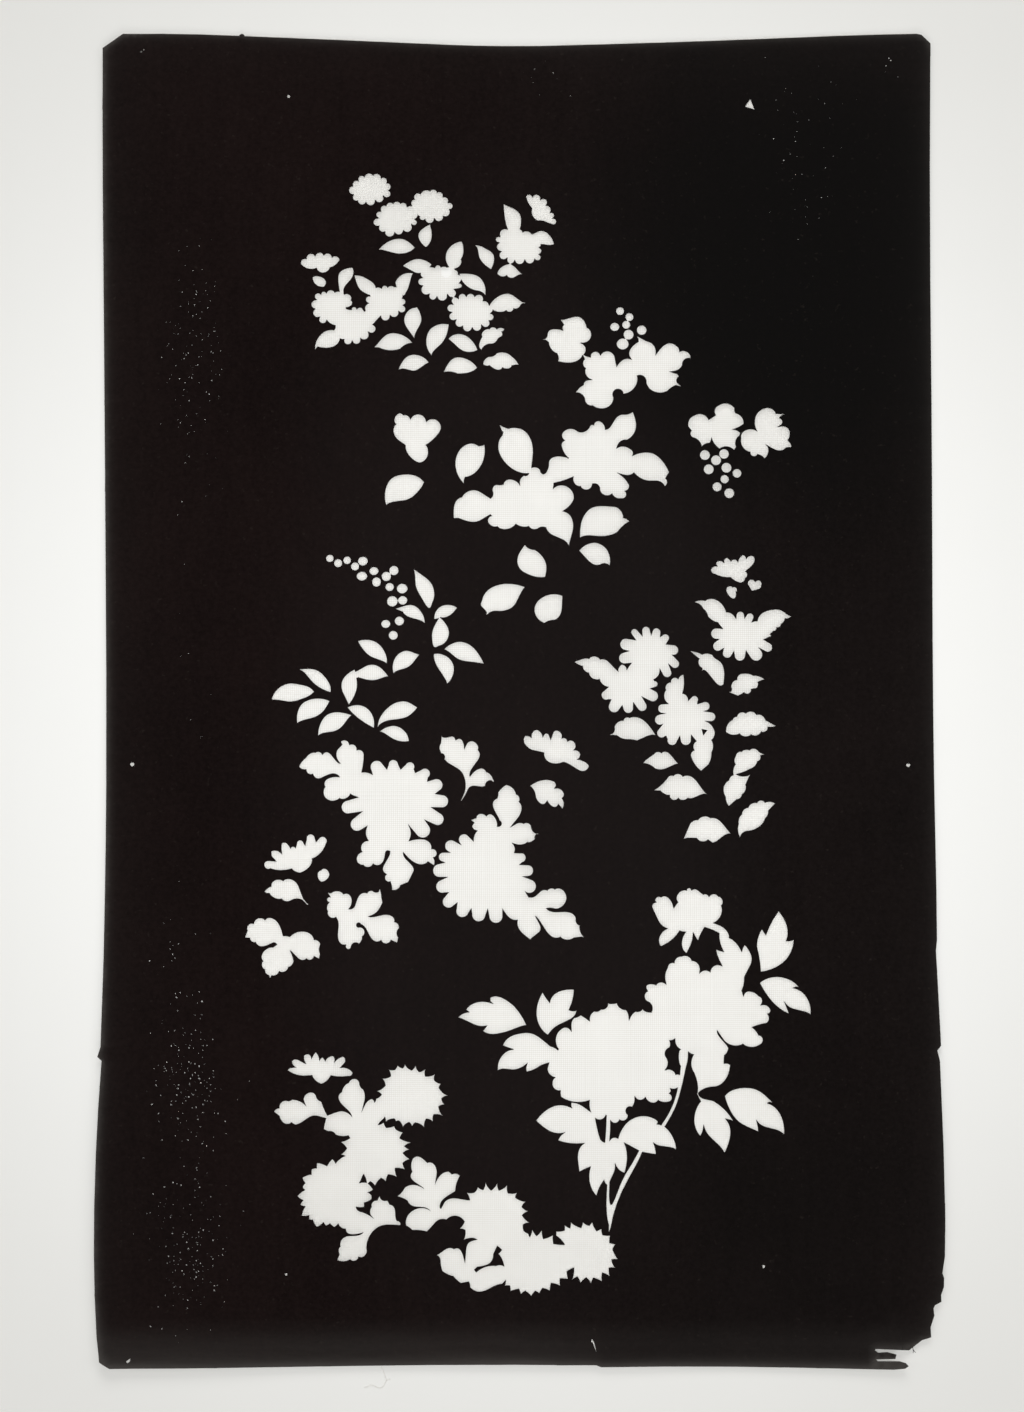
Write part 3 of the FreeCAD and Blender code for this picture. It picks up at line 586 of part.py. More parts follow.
# ------------------------------------------------------------------ lower right: peonies, leaves, stems
cuts += [
    # flower in profile over its sepals, with the leafy stalk that runs down to the peony
    outline([[(67.4, -108.8), (67.6, -107.0)], [(69.3, -106.1), (68.8, -104.6), (70.0, -103.4)],
             [(71.8, -103.4), (74.2, -103.0), (77.2, -105.8)], [(78.2, -108.8), (79.2, -107.2)],
             [(80.0, -106.0), (79.9, -102.2), (82.2, -100.2)], [(84.5, -100.0), (85.6, -98.8)],
             [(87.1, -99.9), (89.6, -99.6), (91.6, -101.1)], [(93.0, -102.0), (94.8, -102.1)],
             [(95.7, -103.1), (97.8, -101.8)], [(100.4, -102.9), (102.6, -104.9)], [(102.0, -107.7),
             (102.3, -110.6), (100.9, -114.0)], [(98.0, -116.3), (102.4, -118.0), (104.8, -120.2)],
             [(105.9, -123.4), (108.6, -125.3)], [(111.9, -130.3), (112.4, -128.4)], [(113.4, -126.8),
             (116.0, -130.2), (117.1, -134.2), (115.5, -138.8)], [(113.4, -142.8), (113.0, -147.0)],
             [(111.6, -151.0), (104.0, -146.0)], [(102.5, -137.9), (100.4, -134.2)], [(98.9, -129.1),
             (101.0, -129.8)], [(102.9, -130.4), (101.4, -127.2)], [(100.5, -121.4), (97.4, -119.8)],
             [(93.6, -118.6), (92.0, -121.2)], [(90.3, -125.3), (88.7, -123.0)], [(87.8, -121.0),
             (87.4, -125.2), (85.8, -129.2)], [(84.5, -131.4), (82.6, -129.4), (82.0, -125.6)],
             [(84.0, -120.8), (82.6, -120.7)], [(81.2, -120.4), (78.6, -123.6)], [(71.7, -128.1),
             (70.6, -124.8), (71.6, -121.8)], [(74.9, -119.1), (71.4, -116.8), (69.2, -112.8)]]),
    # right peony
    outline([[(67.0, -160.3), (67.4, -157.9)], [(65.0, -155.2), (63.5, -152.4)], [(65.0, -150.0),
             (65.0, -146.8), (67.4, -146.4)], [(69.3, -146.8), (71.6, -145.5)], [(74.4, -146.5),
             (73.7, -142.2)], [(75.0, -138.4), (76.0, -136.4)], [(78.3, -135.9), (80.1, -133.1)],
             [(82.0, -132.7), (84.9, -132.5)], [(87.3, -134.7), (89.8, -135.8)], [(91.0, -141.0),
             (93.2, -139.6)], [(96.2, -140.3), (98.0, -137.4)], [(102.4, -137.6), (108.0, -142.0)],
             [(112.7, -152.3), (114.6, -149.9)], [(116.4, -149.9), (119.4, -151.2)], [(120.4, -152.2),
             (122.2, -154.2)], [(121.4, -156.7), (124.4, -156.8)], [(126.3, -159.4), (125.8, -160.7)],
             [(124.8, -161.1), (125.6, -163.2)], [(124.3, -165.7), (121.8, -166.2)], [(117.2, -167.7),
             (119.2, -169.6)], [(120.4, -171.4), (122.4, -173.2)], [(121.0, -176.3), (116.6, -177.6)],
             [(112.4, -176.2), (106.6, -176.6)], [(102.2, -173.2)], [(99.7, -169.3), (101.0, -172.4),
             (104.2, -176.0)], [(105.4, -178.0), (104.6, -180.4)], [(103.5, -181.6), (103.2, -183.6)],
             [(103.2, -185.4), (104.8, -185.4)], [(106.4, -186.3), (105.4, -190.6), (102.8, -194.9)],
             [(98.2, -197.1), (93.6, -198.0)], [(89.9, -200.4), (89.9, -197.0)], [(88.2, -190.4),
             (86.6, -185.0)], [(87.8, -181.3), (86.6, -180.9)], [(85.4, -180.0), (85.3, -184.0)],
             [(84.2, -188.0), (82.4, -188.0), (81.2, -186.6)], [(81.4, -178.7), (79.6, -177.2)],
             [(78.7, -173.6), (77.0, -174.4)], [(75.0, -174.2), (72.0, -170.0)]]),
    # left peony
    outline([[(20.9, -178.8), (19.6, -175.6)], [(20.4, -170.8), (21.6, -169.4)], [(23.0, -168.3),
             (25.2, -168.0)], [(27.5, -170.0)], [(27.2, -167.2), (27.6, -164.8)], [(28.8, -163.2), (30.4, -162.8)],
             [(32.0, -161.8), (34.6, -163.4)], [(36.4, -164.8), (36.9, -161.6)], [(38.8, -159.9),
             (41.0, -159.8)], [(42.0, -158.9), (43.7, -158.8)], [(45.4, -155.9), (47.6, -156.2)],
             [(50.0, -155.8), (52.2, -158.6)], [(54.6, -159.2), (55.9, -161.8)], [(56.0, -164.4),
             (57.3, -161.6)], [(59.2, -159.9), (60.8, -160.0)], [(62.6, -158.8), (64.8, -160.1)],
             [(68.0, -160.2), (72.0, -165.0)], [(75.0, -173.0), (76.6, -175.6)], [(76.2, -178.0),
             (74.0, -180.4)], [(74.6, -182.6), (75.4, -184.6)], [(74.0, -188.8), (77.6, -188.9)],
             [(79.2, -190.9), (81.4, -191.2)], [(81.8, -194.6), (80.2, -197.6)], [(76.5, -198.0),
             (76.9, -199.2)], [(76.1, -200.3), (77.4, -202.0)], [(76.4, -204.3), (73.4, -204.8)],
             [(70.5, -203.9), (68.6, -205.1), (66.2, -204.7)], [(64.1, -202.4), (61.6, -203.8)],
             [(58.9, -202.0), (58.9, -204.6)], [(57.6, -207.3), (55.1, -207.6)], [(55.6, -210.8),
             (53.8, -213.8)], [(51.4, -213.5), (48.9, -215.1)], [(46.8, -213.6), (45.4, -212.0)],
             [(44.6, -211.2), (42.2, -213.4)], [(39.2, -212.5), (36.8, -208.8)], [(36.4, -204.0),
             (30.0, -204.9)], [(22.4, -202.4), (22.0, -200.6)], [(22.0, -199.2), (19.2, -198.4)],
             [(18.0, -195.4), (18.6, -193.4)], [(19.4, -192.7), (16.8, -191.4)], [(15.5, -188.6),
             (16.0, -186.6)], [(16.4, -185.4), (19.0, -182.0)]]),
    # leaf that overlaps the left peony
    leaf([(-9.0, -189.4), (-8.4, -184.5), (-5.4, -180.5)], [(-1.2, -178.9), (-4.4, -178.0)], [(-6.7, -177.1),
         (-3.4, -172.9), (1.8, -171.0), (7.6, -170.9), (13.0, -173.9)], [(17.0, -177.2), (22.6, -181.0)],
         [(24.0, -184.0), (17.0, -185.4)], [(12.4, -186.9), (8.8, -189.0)], [(5.3, -190.1), (5.0, -188.0)],
         [(5.7, -185.7), (3.0, -187.8), (-1.4, -189.0), (-5.4, -188.6)]),
    # leaves standing free
    leaf([(-28.9, -163.4), (-26.0, -161.2)], [(-23.3, -160.7), (-24.2, -160.1)], [(-25.0, -159.5),
         (-21.8, -156.6), (-16.8, -155.4)], [(-11.4, -156.5)], [(-12.9, -155.4)], [(-13.0, -153.5),
         (-10.4, -152.7), (-6.2, -153.8)], [(-1.0, -157.4), (3.0, -162.6)], [(5.4, -167.1), (2.6, -167.7),
         (-2.4, -169.6), (-9.0, -171.4), (-14.0, -171.3)], [(-16.5, -170.0)],
         [(-14.4, -167.4), (-19.2, -167.4), (-24.0, -165.4)]),
    leaf([(13.1, -150.6), (14.6, -153.0)], [(16.6, -155.8), (18.8, -151.7), (22.4, -149.8)], [(28.9, -149.2),
         (28.4, -153.4)], [(26.4, -159.4), (27.8, -159.8)], [(30.1, -159.6), (29.2, -162.2),
         (25.4, -165.0), (20.8, -167.2)], [(17.6, -169.7)], [(15.8, -172.0), (12.2, -168.6),
         (10.0, -162.6), (10.6, -156.0)]),
    leaf([(130.3, -110.0), (133.4, -114.6), (135.0, -120.6)], [(134.2, -124.9), (136.0, -124.8)],
         [(137.9, -124.1), (137.0, -129.4), (133.2, -135.2), (127.4, -138.9)], [(121.2, -140.5),
         (120.7, -135.0)], [(119.3, -128.0), (120.2, -122.4)], [(121.9, -119.0), (123.0, -120.4)],
         [(123.9, -121.9), (126.6, -115.8)]),
    leaf([(120.6, -145.7), (124.6, -143.4), (129.6, -142.6), (135.0, -143.7)], [(140.4, -147.7),
         (138.8, -147.8)], [(137.4, -148.2), (141.9, -150.1), (145.2, -154.6)], [(146.1, -161.4),
         (142.4, -159.8), (138.0, -158.8)], [(132.9, -155.0), (134.4, -158.0)], [(135.4, -161.1),
         (131.2, -158.9), (126.0, -154.1)]),
    leaf([(103.2, -201.4), (106.8, -198.6), (112.5, -197.3), (118.4, -197.9), (122.8, -200.4)],
         [(126.8, -204.6), (125.6, -204.5)], [(124.6, -204.9), (128.7, -207.3), (131.6, -211.7)],
         [(132.8, -220.6), (127.9, -217.8), (122.6, -216.4)], [(119.0, -213.3), (119.8, -216.2)],
         [(120.1, -219.1), (115.8, -217.2), (110.6, -214.5), (106.2, -209.2)]),
    leaf([(90.2, -199.8), (91.8, -202.2), (94.4, -203.1)], [(98.0, -203.9), (103.0, -207.6)], [(107.8, -213.9),
         (105.6, -213.2)], [(103.8, -212.7), (106.0, -216.4), (106.1, -222.0)], [(103.3, -229.6),
         (100.0, -225.4), (95.4, -221.0)], [(92.9, -215.9), (92.4, -219.2)], [(91.3, -221.4),
         (88.6, -216.8), (88.2, -211.6)], [(91.3, -204.2), (90.3, -202.2)], [(89.4, -200.2)]),
    # leaf under the left peony
    leaf([(10.0, -213.9), (14.8, -208.9), (20.5, -206.3), (25.6, -206.7)], [(27.8, -207.7), (27.3, -206.2)],
         [(27.5, -204.9), (32.4, -206.2), (36.6, -209.2)], [(39.0, -211.0), (39.8, -214.6),
         (40.4, -217.4)], [(42.2, -223.6), (38.6, -226.0)], [(34.5, -224.8), (30.4, -225.2),
         (25.4, -224.8)], [(20.9, -223.6), (22.4, -221.2)], [(24.5, -219.6), (18.2, -219.6), (13.6, -217.0)]),
    # leaf of three lobes hanging below it
    leaf([(41.4, -221.9), (44.0, -224.4)], [(46.2, -224.4), (48.6, -222.0)], [(50.8, -222.6),
         (52.6, -223.6)], [(53.8, -224.7), (55.2, -230.6), (54.9, -235.4)], [(53.9, -239.5),
         (51.4, -238.2)], [(49.2, -234.8), (48.9, -238.6), (47.2, -242.4)], [(46.0, -246.0),
         (44.9, -245.2)], [(43.7, -243.0), (41.8, -246.0)], [(40.0, -250.7), (37.4, -246.8),
         (36.3, -240.9)], [(37.1, -236.4), (34.6, -237.4)], [(31.5, -239.0), (30.7, -233.0),
         (31.4, -227.8)], [(34.6, -224.6), (38.0, -222.0)]),
    # leaf crossed by the second stem
    leaf([(50.4, -223.4), (52.4, -218.0), (55.7, -214.0), (60.6, -211.6), (65.4, -211.5)], [(70.3, -213.8),
         (70.4, -214.7)], [(70.0, -215.4), (73.7, -216.6), (77.0, -220.2), (79.0, -224.6)],
         [(79.5, -228.2), (75.4, -226.7), (70.6, -226.0)], [(68.1, -224.6), (69.2, -227.6)], [(69.5, -230.4),
         (65.8, -229.8)], [(62.0, -229.2), (58.0, -227.0)], [(53.7, -224.6), (52.0, -223.4)]),
    # stems
    leaf([(81.6, -178.6), (81.4, -186.0), (79.9, -198.0), (77.0, -207.0)], [(71.4, -216.2)], [(73.8, -216.6), (76.8, -211.8), (78.9, -207.8), (82.4, -196.6),
         (84.5, -187.0)], [(85.3, -179.6), (83.4, -178.0)]),
    leaf([(61.0, -228.0), (57.6, -234.4), (52.0, -244.4), (47.1, -254.8)], [(46.4, -250.0)], [(46.6, -243.6)], [(45.0, -243.8), (44.8, -252.0), (45.0, -259.6)],
         [(46.0, -264.8)], [(46.1, -268.8)],
         [(47.2, -266.0), (49.6, -256.2), (53.6, -246.6), (59.2, -236.4)], [(62.9, -229.0)]),
    leaf([(44.7, -210.8), (44.6, -217.0)], [(44.0, -224.8)], [(46.2, -224.8), (46.9, -219.0)],
         [(46.8, -212.8)]),
]

# ------------------------------------------------------------------ lower left: pointed chrysanthemums
cuts += [
    # flower seen from the side
    outline([[(-105.3, -192.4), (-110.0, -191.4)], [(-113.0, -189.7), (-112.4, -188.8)], [(-111.4, -188.4)], [(-108.8, -188.2),
             (-110.6, -186.8)], [(-111.0, -185.2), (-109.6, -184.2), (-107.2, -184.7)], [(-103.9, -186.4),
             (-105.0, -184.2)], [(-105.0, -182.4), (-103.2, -181.6)], [(-101.2, -184.0),
             (-100.3, -182.0)], [(-99.2, -180.5), (-98.2, -181.6)], [(-97.3, -184.9), (-96.7, -183.8)],
             [(-95.7, -183.2), (-95.0, -183.9)], [(-94.4, -185.1), (-93.2, -183.4)], [(-90.6, -182.4),
             (-89.7, -183.8)], [(-90.0, -185.8), (-88.0, -183.8)], [(-85.6, -182.7), (-84.4, -184.2)],
             [(-85.0, -186.2)], [(-87.1, -188.4), (-83.6, -188.5)], [(-80.7, -190.8), (-81.8, -192.3)],
             [(-83.0, -192.4), (-87.2, -192.7)], [(-91.6, -192.2), (-93.8, -195.0)], [(-96.3, -196.3),
             (-99.0, -194.8)], [(-100.9, -192.2)]]),
    # leaf of two lobes, its tip running into the next
    outline([[(-119.5, -210.1), (-118.6, -208.8)], [(-116.9, -208.2), (-116.0, -205.4)], [(-112.6, -204.7),
             (-111.8, -204.6)], [(-110.6, -204.0), (-107.0, -204.7)], [(-103.6, -207.2)],
             [(-104.9, -204.4), (-104.0, -201.6), (-101.3, -200.4)], [(-98.6, -202.8), (-97.9, -203.9)], [(-96.1, -204.9), (-95.0, -208.0)],
             [(-93.2, -211.6)], [(-92.4, -212.4)], [(-93.4, -213.2), (-96.9, -212.2), (-100.2, -211.9),
             (-104.0, -213.9)], [(-108.8, -216.3), (-110.0, -215.8)], [(-110.8, -215.2), (-113.3, -216.0)],
             [(-115.8, -214.2), (-116.4, -213.4)], [(-116.8, -212.2)]]),
    # two lobes of the middle leaf
    outline([[(-93.4, -211.8), (-90.0, -210.6), (-86.2, -209.6), (-83.2, -210.4)], [(-80.8, -212.6),
             (-83.2, -208.8), (-86.4, -205.8), (-87.7, -202.8)], [(-86.0, -200.2), (-85.3, -198.0)],
             [(-82.6, -195.6), (-81.8, -194.4)], [(-80.0, -193.7), (-78.2, -194.3)], [(-77.4, -195.9),
             (-76.6, -198.0)], [(-75.5, -198.9), (-74.6, -202.6), (-75.4, -206.8)], [(-76.3, -210.4),
             (-74.8, -207.0), (-72.8, -204.3)], [(-71.2, -203.6), (-70.3, -204.2)], [(-69.9, -205.3), (-66.0, -207.0)], [(-65.0, -212.8)], [(-67.2, -214.8)], [(-68.2, -216.4)],
             [(-71.0, -219.0)], [(-78.0, -225.0)], [(-81.6, -222.9)],
             [(-82.6, -221.4), (-86.0, -221.8)], [(-88.9, -221.0), (-89.8, -220.0)], [(-92.6, -219.4)],
             [(-94.9, -218.4), (-94.2, -215.2)]]),
    # three pointed flowers in a chain
    spiky([(-69.9, -205.4), (-69.0, -203.4), (-66.3, -201.4), (-69.0, -199.7), (-64.5, -196.9),
           (-66.3, -193.4), (-61.9, -192.4), (-63.2, -188.9), (-60.0, -189.2), (-58.6, -186.9),
           (-56.0, -188.4), (-55.0, -186.3), (-51.7, -189.4), (-49.6, -186.9), (-47.9, -190.2),
           (-44.6, -188.5), (-44.8, -192.4), (-39.9, -191.1), (-40.4, -194.2), (-36.9, -196.0),
           (-38.1, -197.9), (-33.4, -201.9), (-36.8, -203.2), (-35.1, -206.3), (-38.2, -207.0),
           (-36.0, -211.8), (-40.6, -211.0), (-40.8, -214.6), (-44.3, -213.1), (-45.2, -217.3),
           (-49.7, -215.0), (-51.2, -216.9), (-52.7, -214.8), (-55.8, -217.2), (-57.7, -214.1),
           (-59.2, -214.5), (-60.0, -213.1), (-64.2, -214.6), (-64.8, -212.1)], 0.10),
    spiky([(-68.2, -216.4), (-65.2, -215.2), (-64.0, -217.7), (-60.0, -216.8), (-59.2, -218.5),
           (-55.8, -219.9), (-57.4, -222.8), (-51.7, -224.8), (-55.1, -226.6), (-52.6, -228.2),
           (-55.8, -229.9), (-52.3, -232.9), (-55.8, -234.8), (-54.7, -237.9), (-59.6, -237.3),
           (-58.6, -241.6), (-62.9, -240.4), (-64.0, -243.8), (-66.4, -242.1), (-69.3, -245.9),
           (-71.6, -243.8), (-73.2, -245.3), (-74.9, -240.2), (-77.4, -245.6), (-86.0, -240.0),
           (-83.8, -231.6), (-86.2, -230.8), (-83.2, -227.8), (-86.3, -224.7), (-81.4, -222.6),
           (-74.0, -214.0)], 0.06),
    spiky([(-83.6, -231.4), (-86.8, -233.2), (-88.8, -235.4), (-90.4, -233.1), (-93.0, -236.6),
           (-97.9, -235.0), (-98.0, -237.6), (-100.5, -238.0), (-100.6, -240.6), (-105.1, -242.2),
           (-103.6, -244.8), (-105.0, -246.8), (-103.7, -248.2), (-107.5, -251.2), (-104.5, -253.2),
           (-106.0, -255.4), (-103.5, -256.2), (-105.3, -260.8), (-101.5, -260.4), (-101.5, -262.5),
           (-99.8, -262.6), (-97.8, -266.2), (-94.5, -263.8), (-93.3, -265.5), (-91.3, -264.4),
           (-89.2, -266.2), (-87.1, -264.2), (-82.0, -262.0), (-79.0, -258.6), (-78.6, -256.2), (-74.7, -256.3), (-74.8, -254.2), (-71.1, -252.6), (-71.1, -250.7), (-73.1, -249.2),
           (-70.3, -247.9), (-73.4, -244.6), (-77.4, -244.9), (-75.6, -240.8)], 0.06),
    # leaf of three lobes at its foot
    outline([[(-87.3, -264.0), (-85.8, -266.4)], [(-83.5, -267.0), (-82.8, -268.9), (-79.8, -269.7)],
             [(-76.6, -269.2)], [(-74.7, -268.7), (-79.6, -270.5), (-84.2, -271.2), (-86.2, -274.0)],
             [(-86.1, -275.7), (-87.0, -278.0)], [(-86.5, -279.3)], [(-87.6, -282.3), (-84.5, -282.9)],
             [(-81.3, -281.9), (-78.6, -282.5)], [(-77.2, -280.5), (-75.6, -280.9), (-74.0, -280.0)],
             [(-73.3, -276.8), (-72.6, -272.2), (-70.0, -268.0), (-66.2, -265.5), (-61.0, -264.9)],
             [(-56.7, -265.2), (-56.8, -264.0)], [(-58.4, -263.2), (-59.1, -261.2), (-59.7, -256.8)],
             [(-62.0, -255.2)], [(-63.2, -253.2), (-65.6, -253.1)], [(-67.0, -251.0)], [(-68.1, -253.3),
             (-69.8, -253.6)], [(-70.8, -256.4), (-71.6, -258.2)], [(-71.2, -260.4)], [(-69.6, -262.2), (-72.4, -260.3)], [(-75.6, -258.9), (-77.4, -258.3)], [(-78.6, -257.0)],
             [(-84.0, -260.0)]]),
    # leaf of four lobes
    outline([[(-50.7, -232.8), (-48.0, -231.7), (-45.4, -233.1)], [(-43.6, -234.8), (-41.0, -234.9),
             (-39.0, -238.2), (-39.3, -242.5)], [(-39.8, -245.8), (-38.3, -242.4), (-35.8, -239.8)],
             [(-33.0, -239.0), (-32.4, -239.5)], [(-31.4, -240.4), (-29.0, -240.1)], [(-27.5, -241.0),
             (-29.0, -244.2)], [(-29.8, -248.6), (-34.1, -251.2), (-36.8, -254.0)], [(-37.2, -257.0)],
             [(-36.6, -257.1)], [(-34.8, -253.8), (-31.4, -252.1), (-27.0, -252.4)], [(-22.4, -253.0),
             (-20.0, -258.0)], [(-25.0, -263.3), (-29.0, -260.6)], [(-34.0, -262.4), (-38.4, -262.9),
             (-41.8, -266.4)], [(-43.6, -268.2), (-47.0, -267.6)], [(-50.8, -267.5), (-52.0, -266.4)],
             [(-53.8, -265.4), (-52.8, -260.2), (-50.2, -257.9), (-46.0, -256.8)], [(-41.8, -258.3),
             (-45.2, -256.4), (-50.2, -255.9)], [(-53.2, -253.2), (-55.6, -251.9)], [(-58.2, -251.1),
             (-56.4, -249.6)], [(-54.6, -247.0), (-51.6, -245.6), (-48.2, -245.9)], [(-45.0, -247.5), (-48.6, -244.8),
             (-51.7, -241.6)], [(-50.9, -239.2), (-51.4, -237.4)]]),
    # second chain of three
    spiky([(-22.4, -253.0), (-24.0, -249.3), (-20.2, -249.2), (-18.5, -246.6), (-15.9, -248.0),
           (-14.8, -244.2), (-12.0, -248.2), (-9.0, -244.6), (-8.2, -248.2), (-4.1, -245.6),
           (-3.7, -249.5), (0.9, -249.2), (-0.1, -251.6), (5.1, -253.6), (3.1, -256.1), (6.4, -258.3),
           (3.3, -260.2), (7.0, -263.8), (3.8, -264.8), (4.4, -268.4), (-4.0, -272.0), (-9.0, -274.6), (-14.0, -276.0), (-20.4, -271.4), (-25.4, -272.3), (-24.6, -267.5), (-27.4, -266.8), (-24.9, -263.2)], 0.08),
    spiky([(4.4, -268.0), (6.4, -269.2), (7.2, -270.9), (8.4, -267.2), (10.5, -270.3), (13.1, -267.4),
           (13.8, -271.7), (18.6, -269.8), (18.9, -274.0), (25.2, -274.3), (28.9, -285.8),
           (25.6, -287.6), (26.2, -291.4), (22.2, -291.1), (22.3, -294.6), (17.8, -293.3), (17.3, -297.1),
           (13.6, -295.8), (12.0, -298.4), (10.0, -297.2), (8.0, -299.7), (5.0, -297.2), (2.8, -298.8),
           (1.8, -296.2), (-2.4, -297.4), (-2.6, -294.6), (-5.2, -294.6), (-4.6, -292.0), (-6.4, -281.9),
           (-8.4, -279.0), (-6.6, -277.2), (-8.9, -275.2), (-6.0, -268.0)], 0.05),
    spiky([(24.2, -274.3), (20.0, -270.0), (20.1, -268.0), (24.2, -267.5), (24.2, -264.8), (27.0, -266.4),
           (27.2, -263.4), (32.4, -266.2), (33.2, -263.4), (36.4, -265.1), (37.9, -263.2), (40.1, -267.6),
           (42.6, -266.4), (43.1, -269.5), (47.0, -269.8), (46.6, -273.4), (49.8, -273.9), (48.2, -276.6),
           (50.9, -281.7), (47.6, -281.8), (49.4, -285.8), (46.4, -285.8), (46.8, -290.2), (43.0, -288.2),
           (42.9, -292.6), (38.6, -290.8), (37.5, -293.6), (35.0, -290.6), (32.2, -293.4), (30.6, -290.2),
           (27.7, -292.2), (28.9, -285.8), (22.0, -281.0)], 0.06),
    # leaf under the second chain
    outline([[(-14.0, -269.0), (-19.0, -272.2), (-23.0, -273.8), (-24.3, -278.0)], [(-24.7, -283.8),
             (-25.8, -279.6), (-28.0, -276.5)], [(-30.2, -276.8), (-32.8, -276.3), (-35.9, -278.0)],
             [(-38.7, -279.7), (-37.0, -281.4)], [(-36.8, -283.2), (-36.4, -285.6)], [(-35.9, -287.5),
             (-33.0, -289.2)], [(-30.4, -290.1), (-28.8, -291.8)], [(-26.7, -293.4), (-24.8, -293.0)],
             [(-22.8, -292.7), (-22.2, -294.4)], [(-22.2, -295.4), (-15.0, -297.1), (-9.8, -294.6)],
             [(-6.4, -293.8)], [(-4.5, -291.7), (-3.4, -288.0)], [(-9.4, -284.9), (-15.9, -285.9)], [(-19.2, -288.1)],
             [(-20.1, -286.8)], [(-18.5, -285.4), (-15.6, -284.9)], [(-13.2, -284.1), (-11.2, -281.8)],
             [(-10.8, -279.3)], [(-8.9, -275.2)], [(-8.0, -272.0)]]),
]

# ------------------------------------------------------------------ register marks and damage
marks = [
    berry(-117.2, 301.0, register_hole),
    leaf([(117.3, 301.0)], [(119.6, 295.0)], [(114.2, 296.6)]),
    leaf([(-192.0, -37.4), (-190.8, -38.8), (-192.0, -39.8), (-193.2, -38.8)]),
    leaf([(195.2, -36.4), (196.4, -37.6), (195.2, -38.6), (194.0, -37.6)]),
    berry(-112.7, -289.3, 0.7, 0.8),
    berry(122.4, -284.7, 0.8 * register_hole, register_hole),
    berry(187.8, 322.0, 0.5),
    berry(188.7, 320.8, 0.5),
    leaf([(-190.8, -331.5)], [(-188.6, -329.9)], [(-188.6, -331.4)], [(-190.0, -332.4)]),
    # slit worn through near the lower edge
    leaf([(37.9, -319.9)], [(39.0, -321.4)], [(39.6, -323.6)], [(40.3, -327.0)], [(38.7, -323.8)],
         [(38.1, -322.3)], [(37.1, -321.6)]),
]

for mark in marks:
    centre = mark.BoundBox.Center
    shift_x = centre.x * (scale_x / pattern_scale - 1)
    shift_y = centre.y * (scale_y / pattern_scale - 1)
    mark.translate(FreeCAD.Vector(shift_x, shift_y, 0))
    cuts.append(mark)


# ------------------------------------------------------------------ the sheet
def sheet(reveal):
    """Outline of the sheet as it has worn: bowed sides, dipping upper edge, torn lower right corner."""
    lip = reveal / scale_y
    return outline([
        [(-211.8, 325.2)],
        [(-206.0, 329.3 + lip)],
        [(-201.5, 332.6 + lip), (-172.0, 332.8 + lip)],
        [(-142.6, 332.0 + lip), (-141.2, 333.0 + lip)],
        [(-139.8, 331.9 + lip), (-111.4, 330.9 + lip), (-60.5, 328.8 + lip),
         (-5.0, 327.2 + lip), (41.2, 328.4 + lip), (92.2, 330.3 + lip), (143.1, 332.6 + lip)],
        [(201.6, 334.4 + lip)],
        [(204.1, 333.8)],
        [(208.7, 329.4), (208.2, 290.0), (207.8, 220.0), (208.0, 146.4), (207.8, 40.0), (208.1, -54.9),
         (208.7, -104.7)],
        [(208.7, -124.5)],
        [(208.2, -129.4)],
        [(209.1, -149.1)],
        [(210.3, -176.2)],
        [(208.5, -178.7)],
        [(209.7, -183.7), (211.0, -222.0), (211.6, -254.0)],
        [(211.4, -279.0)],
        [(210.1, -287.2)],
        [(210.9, -289.6)],
        [(210.8, -294.0)],
        [(209.4, -297.8)],
        [(209.5, -301.2)],
        [(206.4, -302.8)],
        [(205.6, -304.4)],
        [(206.0, -308.0)],
        [(204.1, -313.5)],
        [(204.4, -318.4)],
        [(200.0, -319.8)],
        [(195.2, -323.6)],
        [(193.4, -324.9)],
        [(177.3, -324.4)],
        [(176.8, -325.1)],
        [(178.6, -326.2)],
        [(183.0, -325.9)],
        [(187.4, -327.0)],
        [(186.8, -329.0)],
        [(177.4, -329.3)],
        [(178.2, -330.2)],
        [(188.8, -330.1)],
        [(191.8, -330.9)],
        [(193.1, -332.2)],
        [(191.4, -333.4)],
        [(186.0, -334.0)],
        [(140.6, -333.4), (91.5, -333.0)],
        [(42.3, -333.4)],
        [(40.0, -332.5), (-31.4, -332.6), (-134.6, -334.2)],
        [(-198.5, -334.8)],
        [(-203.6, -331.6)],
        [(-205.2, -320.0), (-207.1, -278.1), (-207.2, -253.8), (-206.0, -208.0)],
        [(-204.8, -185.2)],
        [(-206.9, -183.2)],
        [(-205.4, -178.4), (-204.6, -56.5), (-206.2, 43.6), (-209.6, 195.9), (-211.4, 290.0)],
    ], on_edge)


gauze_face = sheet(gauze_reveal)
paper_face = sheet(0.0)

# cut the pattern in one go; what is left falls into the sheet and the islands the gauze holds
remains = paper_face.cut(cuts)
pieces = sorted(remains.Faces, key=lambda f: -f.Area)
pieces = [f for f in pieces if f.Area > smallest_island]
faces = {"stencil_paper": pieces[0]}
for number, face in enumerate(pieces[1:], start=1):
    faces["paper_island_%d" % number] = face

# a scrap of paper that still sticks to the gauze inside one of the large flowers
faces["paper_scrap"] = leaf([(92.3, -20.0)], [(94.7, -20.5)], [(93.0, -22.7)])

# the gauze lies at the bottom, with every piece of paper bonded on top of it
middle = gauze_face.BoundBox.Center
to_origin = FreeCAD.Vector(-middle.x, -middle.y, 0)
on_gauze = to_origin + FreeCAD.Vector(0, 0, gauze_thickness)


